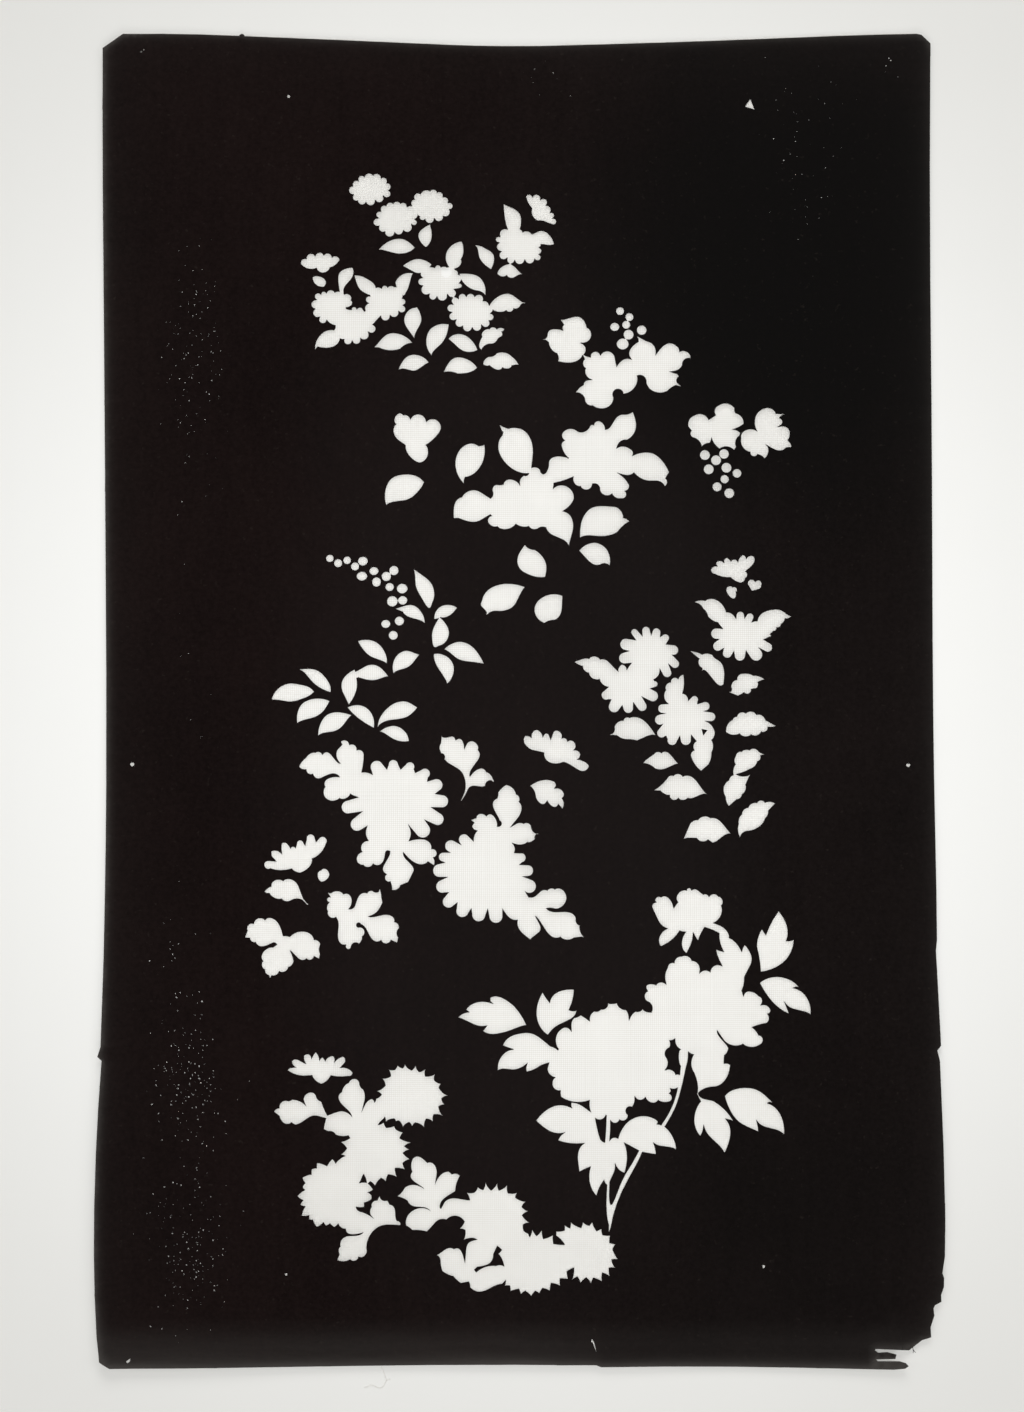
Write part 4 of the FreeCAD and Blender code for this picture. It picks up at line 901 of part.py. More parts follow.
def layer(face, place, thickness):
    """A face moved to its place in the part's frame and given its thickness upwards."""
    moved = face.copy()
    moved.translate(place)
    return moved.extrude(FreeCAD.Vector(0, 0, thickness))


solids = {"silk_gauze": layer(gauze_face, to_origin, gauze_thickness)}
for name, face in faces.items():
    solids[name] = layer(face, on_gauze, paper_thickness)

os.makedirs("parts", exist_ok=True)
for name, shape in solids.items():
    shape.exportStep("parts/%s.step" % name)
    print(name, shape.ShapeType, "valid", shape.isValid(), "volume %.1f" % shape.Volume,
          "x %.1f..%.1f" % (shape.BoundBox.XMin, shape.BoundBox.XMax),
          "y %.1f..%.1f" % (shape.BoundBox.YMin, shape.BoundBox.YMax))
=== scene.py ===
# %% [markdown]
# # A katagami dyeing stencil
# A katagami is a sheet of mulberry paper stiffened with persimmon tannin and cut through with a pattern.
# Silk gauze is lacquered over its back, so that thin necks don't tear and free islands stay in place.
# The flat construction comes packed as a frame of named pieces, one for the sheet, one for each island and
# one for the gauze.  This lesson keeps their outlines and gives them what a flat plate can't have: the
# gentle waves of old paper, lifted edges, worn pinholes, real threads and finishes made of nodes.

import math

import bmesh
import bpy
import numpy as np
from mathutils import Matrix, Vector
from mathutils.geometry import delaunay_2d_cdt
from mathutils.kdtree import KDTree


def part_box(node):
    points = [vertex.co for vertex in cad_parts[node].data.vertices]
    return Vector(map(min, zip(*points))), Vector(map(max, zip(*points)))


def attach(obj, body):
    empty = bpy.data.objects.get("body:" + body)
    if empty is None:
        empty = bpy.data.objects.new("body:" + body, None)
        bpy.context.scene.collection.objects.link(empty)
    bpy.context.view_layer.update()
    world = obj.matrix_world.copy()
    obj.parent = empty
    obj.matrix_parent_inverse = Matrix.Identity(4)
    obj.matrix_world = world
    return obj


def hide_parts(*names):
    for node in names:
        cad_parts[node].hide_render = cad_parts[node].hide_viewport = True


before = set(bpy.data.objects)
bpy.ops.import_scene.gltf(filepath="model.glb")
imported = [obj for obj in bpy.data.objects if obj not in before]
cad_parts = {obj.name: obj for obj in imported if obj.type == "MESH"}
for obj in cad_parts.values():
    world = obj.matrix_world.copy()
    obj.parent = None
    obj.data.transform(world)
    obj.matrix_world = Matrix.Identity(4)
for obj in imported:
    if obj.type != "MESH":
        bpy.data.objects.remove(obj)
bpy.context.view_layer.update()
MM = 0.001
chance = np.random.default_rng(1603)
print("frame nodes:", sorted(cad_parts))

# %% [markdown]
# ## Heights in the stack
# The gauze lies lowest and the paper is bonded on top of it.  Every height and every edge is read from the
# frame, so a change of thickness or size there is followed here.

# %% Heights and corners, in millimetres
gauze_low, gauze_high = (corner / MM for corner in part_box("silk_gauze"))
paper_low, paper_high = (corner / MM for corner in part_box("stencil_paper"))
paper_nodes = sorted(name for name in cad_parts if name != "silk_gauze")
print("gauze z %.2f to %.2f, paper z %.2f to %.2f mm" % (gauze_low.z, gauze_high.z, paper_low.z, paper_high.z))

# %% [markdown]
# ## Outlines from the frame
# A flat piece is known by the rim of its upper face.  The rim is found where a face that looks up meets
# a wall, and its edges are then walked into closed loops.  Reading it here, and not drawing the flowers a
# second time, keeps the cut pattern exactly the one that was built.

# %% Rim loops of a flat piece
def rim_loops(node):
    """Closed outlines of a flat piece seen from above, longest first, in millimetres."""
    flat = bmesh.new()
    flat.from_mesh(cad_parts[node].data)
    bmesh.ops.remove_doubles(flat, verts=flat.verts, dist=1e-6)
    beside = {}
    for edge in flat.edges:
        looks_up = [face.normal.z > 0.9 for face in edge.link_faces]
        if sum(looks_up) == 1:
            a, b = edge.verts
            beside.setdefault(a, []).append(b)
            beside.setdefault(b, []).append(a)
    loops, walked = [], set()
    for start in beside:
        if start in walked:
            continue
        loop, here = [], start
        while here is not None:
            walked.add(here)
            loop.append((here.co.x / MM, here.co.y / MM))
            here = next((v for v in beside[here] if v not in walked), None)
        loops.append(np.array(loop))
    flat.free()
    return sorted(loops, key=lambda loop: -np.ptp(loop[:, 1]))


rims = {name: rim_loops(name) for name in paper_nodes}
gauze_rims = rim_loops("silk_gauze")
print("outlines of the sheet:", len(rims["stencil_paper"]), "corners:", sum(map(len, rims["stencil_paper"])))


# %% [markdown]
# ## Where the sheet's edges run
# The sides bow and the lower edge steps, so distance to an edge is measured against the true outline.
# Each side becomes a small lookup that gives its place at any height or width.  An eased copy of it runs
# past the nicks, for surfaces that bend along the edge.

# %% The four sides of the outline
def tree_of(points):
    """A search tree that finds the nearest of many flat points."""
    tree = KDTree(len(points))
    for i, (x, y) in enumerate(points):
        tree.insert((x, y, 0), i)
    tree.balance()
    return tree


outer = rims["stencil_paper"][0]
half_width, half_height = paper_high.x, paper_high.y


def side(points, along, across):
    """Positions along one side, sorted, with the side's place across at each."""
    order = np.argsort(points[:, along])
    return points[order, along], points[order, across]


def spaced(loop, gap):
    """A loop with its long edges divided so that no edge is longer than the gap."""
    result = []
    for a, b in zip(loop, np.roll(loop, -1, axis=0)):
        steps = max(1, math.ceil(np.linalg.norm(b - a) / gap))
        result += [a + (b - a) * i / steps for i in range(steps)]
    return np.array(result)


def eased(edge, gap=24.0):
    """The same side with its nicks and steps smoothed over, for surfaces that bend along it."""
    knots = np.arange(edge[0][0] - gap, edge[0][-1] + 2 * gap, gap)
    fine = np.linspace(knots[0], knots[-1], 8 * len(knots))
    weights = np.exp(-((knots[:, None] - fine[None, :]) / gap) ** 2)
    values = (weights * np.interp(fine, *edge)).sum(1) / weights.sum(1)
    return fine, np.interp(fine, knots, values)


longest_edge = 3.0
beside_share, lower_share, upper_share = 0.92, 0.985, 0.97
outer = spaced(outer, longest_edge)
left_side = side(outer[outer[:, 0] < -beside_share * half_width], 1, 0)
right_side = side(outer[outer[:, 0] > beside_share * half_width], 1, 0)
lower_side = side(outer[outer[:, 1] < -lower_share * half_height], 0, 1)
upper_side = side(outer[outer[:, 1] > upper_share * half_height], 0, 1)
left_ease, right_ease, lower_ease, upper_ease = map(eased, (left_side, right_side, lower_side, upper_side))
print("left edge from x %.1f to %.1f mm" % (left_side[1].min(), left_side[1].max()))


# %% [markdown]
# ## Lift: how old paper lies
# A sheet that has been soaked, dyed through and dried for years doesn't lie dead flat.  It keeps broad low
# waves, and its margins curl up a little because the lacquered gauze pulls on one face only.  The lift is
# one formula for a height in millimetres, so paper, islands and threads all ride the same surface.

# %% The lift formula
left_curl, lower_curl, right_curl, upper_curl = 2.6, 2.2, 1.4, 0.4
curl_reach = 4.5
wave_height, ripple_height = 0.40, 0.20


def bump_at(value, centre, spread):
    """A smooth hump that is 1 at its centre and dies away over its spread."""
    return np.exp(-((value - centre) / spread) ** 2)


def edge_distances(x, y, left, right, lower, upper):
    """How far points lie in from the left, right, lower and upper edge."""
    return (np.maximum(x - np.interp(y, *left), 0), np.maximum(np.interp(y, *right) - x, 0),
            np.maximum(y - np.interp(x, *lower), 0), np.maximum(np.interp(x, *upper) - y, 0))


def lift(x, y):
    """Height of the sheet above its rest plane at points given in millimetres."""
    x, y = np.asarray(x, float), np.asarray(y, float)
    waves = wave_height * (1 + np.sin(x / 78 + 0.7) * np.cos(y / 121 - 0.4))
    waves += ripple_height * (1 + np.sin(x / 41 - y / 67))
    to_left, to_right, to_lower, to_upper = edge_distances(
        x, y, left_ease, right_ease, lower_ease, upper_ease)
    left = left_curl * (0.25 + 0.75 * bump_at(y, -0.72 * half_height, 0.3 * half_height))
    lower = lower_curl * (0.75 + 0.25 * np.sin(x / 33 + 1.1))
    right = right_curl * (0.35 + 0.65 * bump_at(y, -0.8 * half_height, 0.35 * half_height))
    edges = left * np.exp(-to_left / curl_reach) + lower * np.exp(-to_lower / curl_reach)
    edges += right * np.exp(-to_right / curl_reach) + upper_curl * np.exp(-to_upper / curl_reach)
    return waves + edges


print("lift at the middle %.2f mm, at the lower left edge %.2f mm" % (
    lift(0, 0), lift(left_side[1].min(), -0.7 * half_height)))


# %% [markdown]
# ## Worn grey and painted gleam at the margins
# Hands and the edge of the paste spatula have worn the surface skin off the margins, most at the left and
# lower edges, where the brown thins to grey.  That grey is partly worn skin and partly a painted gleam: it
# stands for the light that the curled left, lower and right margins catch.  The lower margin has a broad pale
# band as well, and the lower right corner has torn off, which leaves pale raw fibres along the break.  Worn
# grey and painted gleam are worked out per point and stored with the mesh for the finish to use.

# %% Worn grey and painted gleam at the margins
torn_corner = ((178.0, -324.4), (192.7, -324.1), (205.0, -319.0))
LEFT, RIGHT, LOWER, UPPER = range(4)
# which margin greys, how much, and how far the grey reaches in; the grey is partly worn skin, partly painted
# gleam
rubbing_and_gleam = [
    (LEFT, 0.95, 1.4), (RIGHT, 0.20, 2.6), (LOWER, 1.0, 2.4), (UPPER, 0.45, 1.5),
    (LEFT, 0.07, 16), (RIGHT, 0.045, 14), (UPPER, 0.05, 16),
]
lower_band = 12.0


def break_distance(x, y):
    """How far points lie from the line along which the corner broke off."""
    near = np.full(np.shape(x), np.inf)
    for (ax, ay), (bx, by) in zip(torn_corner, torn_corner[1:]):
        along = ((x - ax) * (bx - ax) + (y - ay) * (by - ay)) / ((bx - ax) ** 2 + (by - ay) ** 2)
        along = np.clip(along, 0, 1)
        near = np.minimum(near, np.hypot(x - ax - along * (bx - ax), y - ay - along * (by - ay)))
    return near


def wear(x, y):
    """Greying from 0, fresh, to 1, full grey: partly worn skin, partly a painted gleam of the curled margins.
    """
    to_edge = edge_distances(x, y, left_side, right_side, lower_side, upper_side)
    rubbed_and_gleam = sum(amount * np.exp(-to_edge[edge] / reach) for edge, amount, reach in rubbing_and_gleam)
    band = 0.11 * bump_at(to_edge[LOWER], lower_band, 7.0)
    left_part = 1 / (1 + np.exp((x - 30) / 15))
    rubbed_and_gleam += band + left_part * (0.4 * band + 0.14 * np.exp(-(to_edge[LOWER] / lower_band) ** 4))
    rubbed_and_gleam += 0.8 * np.exp(-break_distance(x, y) / 1.2)
    return np.clip(rubbed_and_gleam, 0, 1)


print("wear at the left edge %.2f, in the middle %.2f" % (wear(left_side[1][50], left_side[0][50]), wear(0, 0)))

# %% [markdown]
# ## Worn pinholes
# Years of scraping paste have worn swarms of tiny holes through the margins, thickest along the lower left.
# Each is a real hole, a ragged polygon a few tenths of a millimetre wide.  They are thrown at random from a
# fixed seed into soft bands, and one that lands too near another hole or a cut is thrown again.  Dots drawn
# in the finish would be simpler, but no light would fall through them.

# %% Throw the pinholes
# each band: middle x, middle y, spread x, spread y, number of holes, size against the common size
pinhole_bands = [
    (-162.0, -194.0, 8.5, 17.0, 120, 1.08),
    (-160.0, -280.0, 9.0, 16.0, 120, 1.08),
    (-161.0, -235.0, 9.0, 45.0, 85, 1.08),
    (-168.0, -140.0, 8.0, 18.0, 20, 1.0),
    (-164.0, 172.0, 8.0, 24.0, 125, 0.94),
    (-160.0, 60.0, 8.0, 60.0, 16, 1.0),
    (143.0, 278.0, 10.0, 26.0, 60, 0.90),
    (12.0, 310.0, 9.0, 5.0, 9, 1.0),
    (188.0, 314.0, 4.0, 3.0, 4, 1.0),
    (-193.5, 323.9, 1.6, 1.0, 2, 2.5),
]
near_pinhole, near_cut = 0.9, 2.0
widest, highest = 0.94 * half_width, 0.975 * half_height
pinhole_corners = 6
smallest_radius, radius_range = 0.17, 0.24
cut_tree = tree_of(np.vstack(rims["stencil_paper"]))

pinholes, centres = [], []
for x0, y0, spread_x, spread_y, number, size in pinhole_bands:
    thrown = 0
    while thrown < number:
        x, y = chance.normal((x0, y0), (spread_x, spread_y))
        apart = all((x - cx) ** 2 + (y - cy) ** 2 > near_pinhole ** 2 for cx, cy in centres)
        clear = cut_tree.find((x, y, 0))[2] >= near_cut and abs(x) <= widest and abs(y) <= highest
        if not (apart and clear):
            continue
        radius = size * (smallest_radius + radius_range * chance.random() ** 2)
        stretch, turn = 1 + 0.5 * chance.random(), chance.uniform(0, math.pi)
        angles = np.arange(pinhole_corners) * 2 * math.pi / pinhole_corners
        angles += chance.uniform(-0.25, 0.25, pinhole_corners)
        ring = radius * np.column_stack((np.cos(angles) * stretch, np.sin(angles)))
        spin = np.array([[math.cos(turn), -math.sin(turn)], [math.sin(turn), math.cos(turn)]])
        pinholes.append(ring @ spin.T + (x, y))
        centres.append((x, y))
        thrown += 1
print("pinholes:", len(pinholes))


# %% [markdown]
# ## A skin through the outlines
# Paper that bends needs points inside its face, not only on its rim.  A constrained Delaunay triangulation
# takes the outlines as edges that it must keep and a loose field of inner points, and fills everything with
# well-shaped triangles.  Walking from triangle to triangle, each rim that is crossed swaps paper for air,
# which tells the face from its holes.  Extruding the frame's own long triangles would crease as they bend.

# %% Triangulate outlines with inner points
def fill(loops, inner):
    """Points, triangles inside the outlines, and the set of rim edges."""
    spots, keep = [], []
    for loop in loops:
        first = len(spots)
        spots += [Vector(p) for p in loop]
        keep += [(first + i, first + (i + 1) % len(loop)) for i in range(len(loop))]
    spots += [Vector(p) for p in inner]
    points, edges, faces, _, sources, _ = delaunay_2d_cdt(spots, keep, [], 0, 1e-5)
    rim = {tuple(sorted(edge)) for edge, source in zip(edges, sources) if source}
    beside = {}
    for number, face in enumerate(faces):
        for a, b in zip(face, face[1:] + face[:1]):
            beside.setdefault((min(a, b), max(a, b)), []).append(number)
    is_paper, queue = {}, []
    for edge, touching in beside.items():
        if len(touching) == 1 and touching[0] not in is_paper:
            is_paper[touching[0]] = edge in rim
            queue.append(touching[0])
    while queue:
        number = queue.pop()
        face = faces[number]
        for a, b in zip(face, face[1:] + face[:1]):
            edge = (min(a, b), max(a, b))
            for other in beside[edge]:
                if other not in is_paper:
                    is_paper[other] = is_paper[number] != (edge in rim)
                    queue.append(other)
    kept = [face for number, face in enumerate(faces) if is_paper[number]]
    print("points added where rims cross:", len(points) - len(spots))
    return np.array(points), kept, rim


# %% Inner points of a sheet
clear_of_rim = 0.8
row_share = 0.866


def inner_points(loops, gap, edge_rows=()):
    """A staggered grid over the outlines, plus rows that follow the sheet's edges, clear of every rim."""
    low, high = np.min(loops[0], axis=0), np.max(loops[0], axis=0)
    points = []
    for row, y in enumerate(np.arange(low[1], high[1], gap * row_share)):
        for x in np.arange(low[0] + (row % 2) * gap / 2, high[0], gap):
            points.append((x, y))
    row_gap = gap / 2
    for reach in edge_rows:
        for y in np.arange(low[1], high[1], row_gap):
            points.append((np.interp(y, *left_side) + reach, y))
            points.append((np.interp(y, *right_side) - reach, y))
        for x in np.arange(low[0], high[0], row_gap):
            points.append((x, np.interp(x, *lower_side) + reach))
            points.append((x, np.interp(x, *upper_side) - reach))
    rim_tree = tree_of(np.vstack(loops))
    return [p for p in points if rim_tree.find((*p, 0))[2] > clear_of_rim]


# %% Give a filled outline its thickness and its lift
def placed(name, mesh):
    """A mesh as an object of the scene that rides the part."""
    piece = bpy.data.objects.new(name, mesh)
    bpy.context.scene.collection.objects.link(piece)
    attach(piece, "root")
    return piece


def paper_piece(name, node, loops, inner):
    """A solid sheet of paper that rides the lift, standing for one node of the frame."""
    points, faces, rim = fill(loops, inner)
    count = len(points)
    height = lift(points[:, 0], points[:, 1])
    upper = np.column_stack((points, height + paper_high.z))
    under = np.column_stack((points, height + paper_low.z))
    shapes = []
    for a, b, c in faces:
        ab, ac = points[b] - points[a], points[c] - points[a]
        if ab[0] * ac[1] - ab[1] * ac[0] < 0:
            b, c = c, b
        shapes += [(a, b, c), (a + count, c + count, b + count)]
        for p, q in ((a, b), (b, c), (c, a)):
            if (min(p, q), max(p, q)) in rim:
                shapes.append((q, p, p + count, q + count))
    mesh = bpy.data.meshes.new(name)
    mesh.from_pydata(np.vstack((upper, under)) * MM, [], shapes)
    solid = bmesh.new()
    solid.from_mesh(mesh)
    bmesh.ops.delete(solid, geom=[v for v in solid.verts if not v.link_faces], context="VERTS")
    open_edges = sum(len(edge.link_faces) != 2 for edge in solid.edges)
    solid.to_mesh(mesh)
    solid.free()
    mesh.shade_smooth()
    mesh.set_sharp_from_angle(angle=math.radians(35))
    spots = np.array([v.co[:2] for v in mesh.vertices]) / MM
    mesh.attributes.new("wear", "FLOAT", "POINT").data.foreach_set("value", wear(spots[:, 0], spots[:, 1]))
    piece = placed(name, mesh)
    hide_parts(node)
    print(name, "faces", len(mesh.polygons), "open edges", open_edges)
    return piece


# %% [markdown]
# ## A lip of lacquer along every cut
# When gauze is lacquered on, a little lacquer creeps out from under the paper and dries as a narrow dark lip
# along the rim of each cut-out.  The lip takes about a fifth of a millimetre off every opening and is part
# of the paper here.  The lacquer was brushed on by hand, so some groups of the pattern got more of it and
# some less.  The smallest holes hold least, and the sharp teeth of paper between petals grow most.  In the
# tip of a leaf the two sides are closer than two lips, so there each point moves only part of the way to the
# circle that touches both sides.  A corner where the moved outline would still cross itself goes back.

# %% Rims with their lip
lip_width = 0.21
# where the brush left more or less lacquer: middle x, middle y, reach in x, reach in y, change of the width
brush_marks = [
    (-44.0, 210.0, 68.0, 58.0, 0.16),
    (-40.0, -76.0, 76.0, 56.0, 0.09),
    (72.0, -160.0, 76.0, 66.0, 0.07),
    (-50.0, -244.0, 84.0, 62.0, -0.20),
    (112.0, 122.0, 32.0, 30.0, -0.10),
    (-190.0, -331.0, 6.0, 6.0, -0.15),
]
fine_hole = 6.0
sharp_tooth, tooth_growth = -0.45, 1.5
tooth_limit, corner_limit = 0.5, 0.6
share_of_gap = 0.6


def lip_at(loop):
    """Width of the lip at each point of a loop."""
    width = np.full(len(loop), lip_width)
    for x, y, reach_x, reach_y, change in brush_marks:
        away = ((loop[:, 0] - x) / reach_x) ** 2 + ((loop[:, 1] - y) / reach_y) ** 2
        width += change * np.exp(-away ** 2)
    length = np.sum(np.linalg.norm(loop - np.roll(loop, 1, axis=0), axis=1))
    return width * min(1, length / fine_hole)


def crossed(loop):
    """Marks the corners whose edges run through another edge of the same loop."""
    def turn(p, q, r):
        return ((q[..., 0] - p[..., 0]) * (r[..., 1] - p[..., 1])
                - (q[..., 1] - p[..., 1]) * (r[..., 0] - p[..., 0]))

    ends = np.roll(loop, -1, axis=0)
    a, b, c, d = loop[:, None], ends[:, None], loop[None], ends[None]
    hit = (turn(a, b, c) * turn(a, b, d) < 0) & (turn(c, d, a) * turn(c, d, b) < 0)
    return hit.any(axis=1) | np.roll(hit.any(axis=1), 1)


def lipped(loop, is_hole):
    """A cut rim moved out over its opening by the width of the lip."""
    def unit(steps):
        return steps / np.linalg.norm(steps, axis=1)[:, None]

    into = unit(loop - np.roll(loop, 1, axis=0))
    out_of = unit(np.roll(loop, -1, axis=0) - loop)
    tangent = unit(into + out_of + 1e-6)
    twice_area = np.sum(loop[:, 0] * np.roll(loop[:, 1], -1) - np.roll(loop[:, 0], -1) * loop[:, 1])
    way = 1 if (twice_area > 0) == is_hole else -1
    outward = way * np.column_stack((-tangent[:, 1], tangent[:, 0]))
    corner = np.sum(tangent * into, axis=1)
    turning = way * (into[:, 0] * out_of[:, 1] - into[:, 1] * out_of[:, 0])
    stretch = np.where(turning < sharp_tooth, tooth_growth / np.clip(corner, tooth_limit, 1),
                       1 / np.clip(corner, corner_limit, 1))
    width = lip_at(loop)
    free_radius = 3 * width
    for i, (point, normal) in enumerate(zip(loop, outward)):
        for spot, _, away in cut_tree.find_range((*point, 0), 2 * free_radius[i]):
            ahead = (spot.x - point[0]) * normal[0] + (spot.y - point[1]) * normal[1]
            if ahead > 1e-3:
                free_radius[i] = min(free_radius[i], away ** 2 / (2 * ahead))
    moved = loop + outward * np.minimum(width * stretch, share_of_gap * free_radius)[:, None]
    for _ in range(6):
        back = crossed(moved)
        moved[back] = loop[back]
    return moved


def with_lips(loops, is_sheet):
    """All loops of a piece with lips, but the sheet's own outline, which lies over no opening."""
    first = loops[0] if is_sheet else lipped(loops[0], False)
    return [first] + [lipped(loop, True) for loop in loops[1:]]


# %% [markdown]
# ## The sheet and its islands
# The sheet takes all its cut outlines and the pinholes.  Its inner points lie 7 mm apart, with close rows
# beside the margins, where the curl is tightest.  The islands are small and take a finer grid.

# %% Make the paper
sheet_gap, island_gap = 7.0, 3.0
clear_of_pinhole = 1.0
sheet_loops = with_lips([outer] + rims["stencil_paper"][1:], is_sheet=True)
sheet_inner = inner_points(sheet_loops, sheet_gap, edge_rows=(1.1, 2.3, 3.6, 5.2, 7.2, 9.8, 13.0))
pinhole_tree = tree_of(centres)
sheet_inner = [p for p in sheet_inner if pinhole_tree.find((*p, 0))[2] > clear_of_pinhole]
stencil = paper_piece("stencil_sheet", "stencil_paper", sheet_loops + pinholes, sheet_inner)
papers = [stencil]
for name in paper_nodes:
    if name != "stencil_paper":
        island_loops = with_lips(rims[name], is_sheet=False)
        papers.append(paper_piece(name + "_piece", name, island_loops, inner_points(island_loops, island_gap)))


# %% [markdown]
# ## Threads of the gauze
# The gauze is an open net: warp threads up the sheet and weft threads across it, about a millimetre apart.
# It could be a picture of a net on a plane, but real threads stay true at any distance and cast their own
# light shadows.  Each thread is a flat ribbon of silk.  Where paper covers it, the silk is soaked dark with
# lacquer; where the pattern is cut through, it is left pale, so a thread is divided at each rim.

# %% Where threads cross the outlines
def rim_edges(loops):
    """Start and end points of all edges of the loops."""
    return np.vstack(loops), np.vstack([np.roll(loop, -1, axis=0) for loop in loops])


def spans(edges, axis, place):
    """Stretches of a straight line at this place that lie inside the outlines."""
    a, b = edges
    other = 1 - axis
    hit = (a[:, other] < place) != (b[:, other] < place)
    a, b = a[hit], b[hit]
    cuts = a[:, axis] + (place - a[:, other]) / (b[:, other] - a[:, other]) * (b[:, axis] - a[:, axis])
    cuts = np.sort(cuts)
    return list(zip(cuts[0::2], cuts[1::2]))


def outside(whole, taken):
    """What is left of a stretch when others are taken out of it."""
    left, here = [], whole[0]
    for start, end in taken:
        if end <= whole[0] or start >= whole[1]:
            continue
        if start > here:
            left.append((here, start))
        here = max(here, end)
    if here < whole[1]:
        left.append((here, whole[1]))
    return left


paper_edges = rim_edges([loop for name in paper_nodes for loop in rims[name]])
gauze_edges = rim_edges(gauze_rims)
thread_pitch, pitch_scatter = 1.0, 0.045
first_thread, tuck, shortest = 0.4, 0.35, 0.2

# %% [markdown]
# ## A patch without threads
# One flower of the upper spray has lost a few threads, which shows as a clear spot in the net.  The threads
# that would cross this small worn patch are cut short round it.

# %% Sort every thread into bonded and open stretches
worn_x, worn_y, worn_radius = -36.6, 210.6, 2.6


def worn_spans(axis, place):
    """The stretch of a thread that is missing from the worn patch."""
    middle, centre = (worn_x, worn_y) if axis == 1 else (worn_y, worn_x)
    reach = worn_radius ** 2 - (place - middle) ** 2
    return [(centre - math.sqrt(reach), centre + math.sqrt(reach))] if reach > 0 else []


def sorted_threads(axis):
    """Bonded and open stretches of all threads that run along an axis: (place, start, end)."""
    across = 1 - axis
    low, high = gauze_low[across], gauze_high[across]
    bonded, opened = [], []
    for place in np.arange(low + first_thread, high, thread_pitch):
        place += chance.normal(0, pitch_scatter)
        covered = [(a + tuck, b - tuck) for a, b in spans(paper_edges, axis, place) if b - a > 2.5 * tuck]
        for whole in spans(gauze_edges, axis, place):
            bonded += [(place, a, b) for a, b in covered if a >= whole[0] - 1 and b <= whole[1] + 1]
            for a, b in outside(whole, covered):
                pieces = outside((a, b), worn_spans(axis, place))
                opened += [(place, c, d) for c, d in pieces if d - c > shortest]
    return bonded, opened


warp_bonded, warp_open = sorted_threads(1)
weft_bonded, weft_open = sorted_threads(0)
print("open stretches", len(warp_open), len(weft_open), "length %.1f m" % (
    sum(b - a for _, a, b in warp_open + weft_open) * MM))
print("bonded stretches", len(warp_bonded), len(weft_bonded), "length %.1f m" % (
    sum(b - a for _, a, b in warp_bonded + weft_bonded) * MM))


# %% [markdown]
# ## Ribbons along the stretches
# A stretch gets cross sections at its ends and at stations along the way, close together near the margins
# where the sheet curls and wide apart where it is nearly flat.  The section of a bare thread has four
# corners.  A thread under the paper hides its upper face, so three corners do, flat side up against the
# paper.  Each pair of sections is joined by faces and the two ends are closed, so every thread is a solid.

# %% Build threads
bare_section = ((-1, 0), (1, 0), (1, 1), (-1, 1))
covered_section = ((-1, 1), (0, 0), (1, 1))
margin_zone, margin_step = 18.0, 12.0
wander_width, wander_length = 0.05, 9.0


def stations(place, start, end, axis, rows, step):
    """Places along a stretch that get a cross section."""
    first, last = ((left_ease, right_ease), (lower_ease, upper_ease))[axis]
    near, far = np.interp(place, *first), np.interp(place, *last)
    beside = ((lower_ease, upper_ease), (left_ease, right_ease))[axis]
    to_margin = min(abs(place - np.median(edge[1])) for edge in beside)
    middle_step = step if to_margin > margin_zone else margin_step
    marks = np.concatenate((near + rows, np.arange(near + 20, far - 19, middle_step), far - rows))
    inside = np.sort(marks[(marks > start + 0.5) & (marks < end - 0.5)])
    return np.concatenate(([start], inside, [end]))


def threads(groups, section, width, rows, step):
    """Points and faces of ribbons.  Each group is (axis, stretches, lowest, highest)."""
    points, faces, count, sides = [], [], 0, len(section)
    for axis, stretches, low, high in groups:
        for place, start, end in stretches:
            along = stations(place, start, end, axis, rows, step)
            wander = place + wander_width * np.sin(along / wander_length + place * 7)
            number = len(along)
            ring = np.empty((number, sides, 3))
            for corner, (shift, rise) in enumerate(section):
                ring[:, corner, axis] = along
                ring[:, corner, 1 - axis] = wander + shift * width / 2
                ring[:, corner, 2] = low + rise * (high - low)
            ring[:, :, 2] += lift(ring[:, :, 0], ring[:, :, 1])
            points.append(ring.reshape(-1, 3))
            order = 1 if axis == 0 else -1
            for base in range(count, count + sides * (number - 1), sides):
                for corner in range(sides):
                    a, b = base + corner, base + (corner + 1) % sides
                    faces.append((a, b, b + sides, a + sides)[::order])
            last = count + sides * (number - 1)
            faces.append(tuple(range(count, count + sides))[::-order])
            faces.append(tuple(range(last, last + sides))[::order])
            count += sides * number
    return np.vstack(points), faces


def thread_piece(name, groups, section, width, rows, step):
    """One object made of many threads."""
    points, faces = threads(groups, section, width, np.array(rows), step)
    mesh = bpy.data.meshes.new(name)
    mesh.from_pydata(points * MM, [], faces)
    mesh.update()
    piece = placed(name, mesh)
    print(name, "triangles", sum(len(face) - 2 for face in faces))
    return piece


middle = (gauze_low.z + gauze_high.z) / 2
open_width, bonded_width = 0.20, 0.26
open_gauze = thread_piece(
    "gauze_open", [(0, weft_open, gauze_low.z, middle), (1, warp_open, middle, gauze_high.z)],
    bare_section, open_width, (0.9, 1.9, 3.2, 5.0, 7.6, 12.0), 30.0)
bonded_gauze = thread_piece(
    "gauze_bonded", [(0, weft_bonded, gauze_low.z, middle), (1, warp_bonded, middle, gauze_high.z)],
    covered_section, bonded_width, (1.0, 2.2, 4.0, 7.0, 12.0), 46.0)
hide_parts("silk_gauze")

# %% [markdown]
# ## A frayed end
# One silk thread has pulled out of the gauze at the lower edge.  It starts under the sheet, lies on the
# table in a limp hook and has a short stub where it split at its turn.  It is a round strand, thinner than
# a pin.

